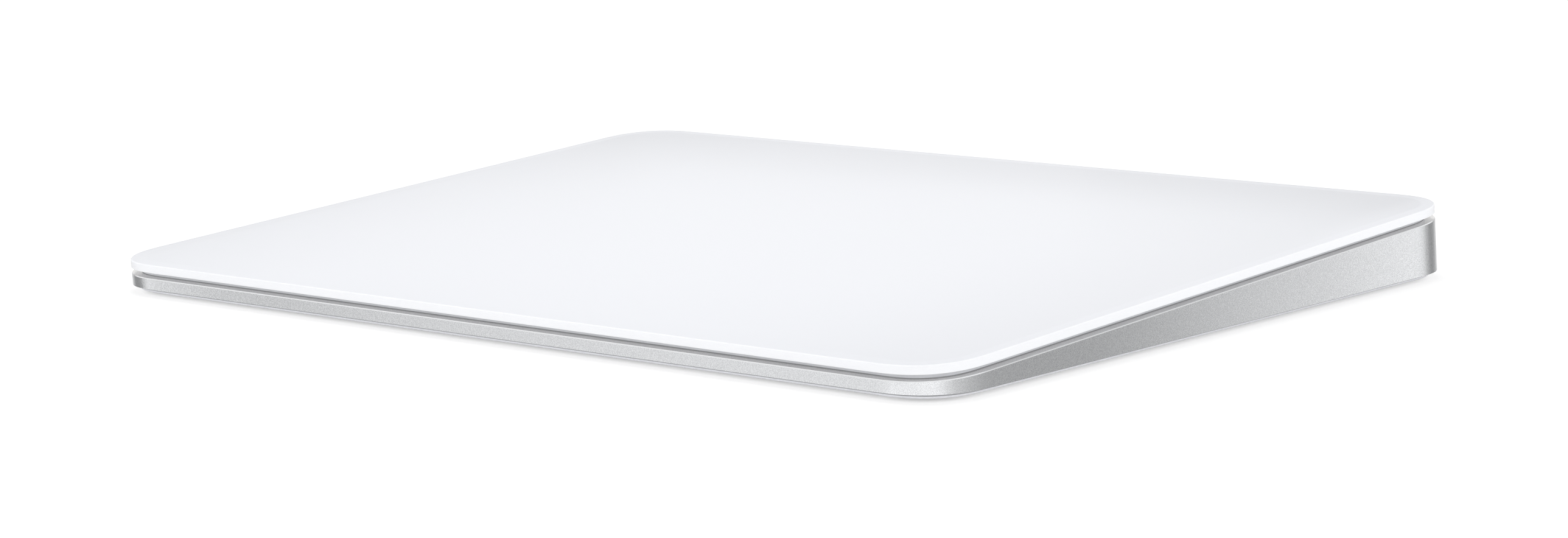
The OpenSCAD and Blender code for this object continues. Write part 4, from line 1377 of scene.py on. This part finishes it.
LEFT_CARD = Card(
    "left_card",
    (-180.0, 150.0),
    (-180.0, -650.0),
    (
        (0.0, 0.9), (0.195, 0.88), (0.225, 0.7), (0.25, 0.28), (0.29, 0.26), (0.305, 0.27),
        (0.32, 0.42), (0.335, 0.76), (0.345, 1.2), (0.358, 1.4), (0.366, 0.9), (0.374, 0.22),
        (0.39, 0.48), (0.418, 0.7), (0.471, 0.79), (0.525, 0.79), (0.594, 0.82), (0.662, 0.84),
        (1.0, 0.86),
    ),
)
FRONT_CARD = Card(
    "front_card",
    (-180.0, -650.0),
    (600.0, -650.0),
    ((0.0, 0.84), (0.14, 0.86), (0.48, 0.92), (0.8, 1.0), (1.0, 1.0)),
)


@dataclass
class Studio:
    """White floor, soft light and cards round the part."""

    floor_reach: float = 250.0
    floor_cells: int = 8
    floor_white: Colour = (0.92, 0.92, 0.92)
    shade_white: Colour = (0.49, 0.49, 0.49)
    glow: float = 0.65
    # Outline of the base, and the glow colour and fade of the painted shadow under it.
    base_half: Point = (78.85, 56.18)
    base_radius: float = 7.55
    painted_shadow_tone: Colour = (0.63, 0.63, 0.63)
    under_fade: float = 3.0
    horizon: float = 1.8
    lean: float = 0.08
    backdrop: float = 1.0
    headroom: float = 0.06
    lamp_size: Point = (300.0, 250.0)
    lamp_place: Tuple[float, float, float] = (-5.0, -15.0, 360.0)
    lamp_level: float = 2.8
    cards: Tuple[Card, ...] = (RIGHT_CARD, REAR_CARD, UPPER_CARD, LEFT_CARD, FRONT_CARD)

    @staticmethod
    def ray(sheet: NodeSheet, kind: str) -> Wire:
        """1 for one kind of ray, such as "Camera", and 0 for others."""
        return sheet.node("ShaderNodeLightPath", output=f"Is {kind} Ray")

    def seen(self, sheet: NodeSheet) -> Wire:
        """1 for rays from the camera, from a reflection or through glass, and 0 for other light."""
        direct = self.ray(sheet, "Camera").at_least(self.ray(sheet, "Glossy"))
        return direct.at_least(self.ray(sheet, "Transmission"))

    def build(self) -> None:
        """Sets up the floor, the world, the lamp and the cards."""
        self.build_floor()
        self.build_world()
        self.build_lamp()
        for card in self.cards:
            card.build()
        bpy.context.scene.view_settings.view_transform = "Standard"

    def build_floor(self) -> None:
        """Lays a white floor that keeps the part's shadow, with a painted shadow under its base,
        where the floor's glow is turned down.
        """
        work = bmesh.new()
        cells = self.floor_cells
        bmesh.ops.create_grid(work, x_segments=cells, y_segments=cells, size=self.floor_reach * MM)
        floor = Shop.finish("floor", work)
        material, sheet = NodeSheet.material("white_floor")
        plain, shade = (
            sheet.node("ShaderNodeBsdfDiffuse", None, {"Color": (*colour, 1.0)})
            for colour in (self.floor_white, self.shade_white)
        )
        # Painted shadow: the floor's glow fades to grey within the base's outline.
        under = sheet.inset(self.base_half, self.base_radius).rise(0.0, self.under_fade * MM)
        white = sheet.mix(under, WHITE, self.painted_shadow_tone)
        glow = sheet.node("ShaderNodeEmission", None, {"Color": white, "Strength": self.glow})
        shown = sheet.node("ShaderNodeAddShader", None, {0: shade, 1: glow})
        both = sheet.node("ShaderNodeMixShader", None, {0: self.seen(sheet), 1: plain, 2: shown})
        sheet.end(both)
        floor.data.materials.append(material)
        floor.visible_glossy = False

    def build_world(self) -> None:
        """Surrounds the set with a pale light, stronger from the right, and a white backdrop."""
        world = bpy.data.worlds.new("studio")
        bpy.context.scene.world = world
        world.use_nodes = True
        sheet = NodeSheet(world.node_tree)
        height, side = sheet.along(UP, "Generated"), sheet.along(RIGHT, "Generated")
        sky = (1.0 - height.at_least(0.0)) * (1.0 + side * self.lean) * self.horizon
        level = sky + self.seen(sheet) * (self.backdrop - sky)
        level = level + self.ray(sheet, "Camera") * self.headroom
        sockets = {"Color": (*WHITE, 1.0), "Strength": level}
        light = sheet.node("ShaderNodeBackground", None, sockets)
        sheet.node("ShaderNodeOutputWorld", None, {"Surface": light})

    def build_lamp(self) -> None:
        """Hangs a large soft lamp over the part."""
        data = bpy.data.lights.new("top_lamp", "AREA")
        data.shape = "RECTANGLE"
        data.size, data.size_y = (size * MM for size in self.lamp_size)
        data.energy = self.lamp_level * math.pi * data.size * data.size_y
        lamp = bpy.data.objects.new("top_lamp", data)
        lamp.location = Vector(self.lamp_place) * MM
        lamp.visible_glossy = False
        bpy.context.scene.collection.objects.link(lamp)


def main() -> None:
    """Loads the frame, builds and dresses every sub-assembly, and sets up the studio."""
    logging.basicConfig(level=logging.INFO, format="%(name)s: %(message)s")
    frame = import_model()
    PhotoCamera().build()
    assemblies: List[Assembly] = [Housing(), TouchPlate(), ForceBeams(), HapticEngine()]
    assemblies += [Battery(), LogicBoard(), ChargePort(), PowerSwitch()]
    for assembly in assemblies:
        assembly.build(frame)
        assembly.dress(frame)
    Studio().build()


if __name__ == "__main__":
    main()
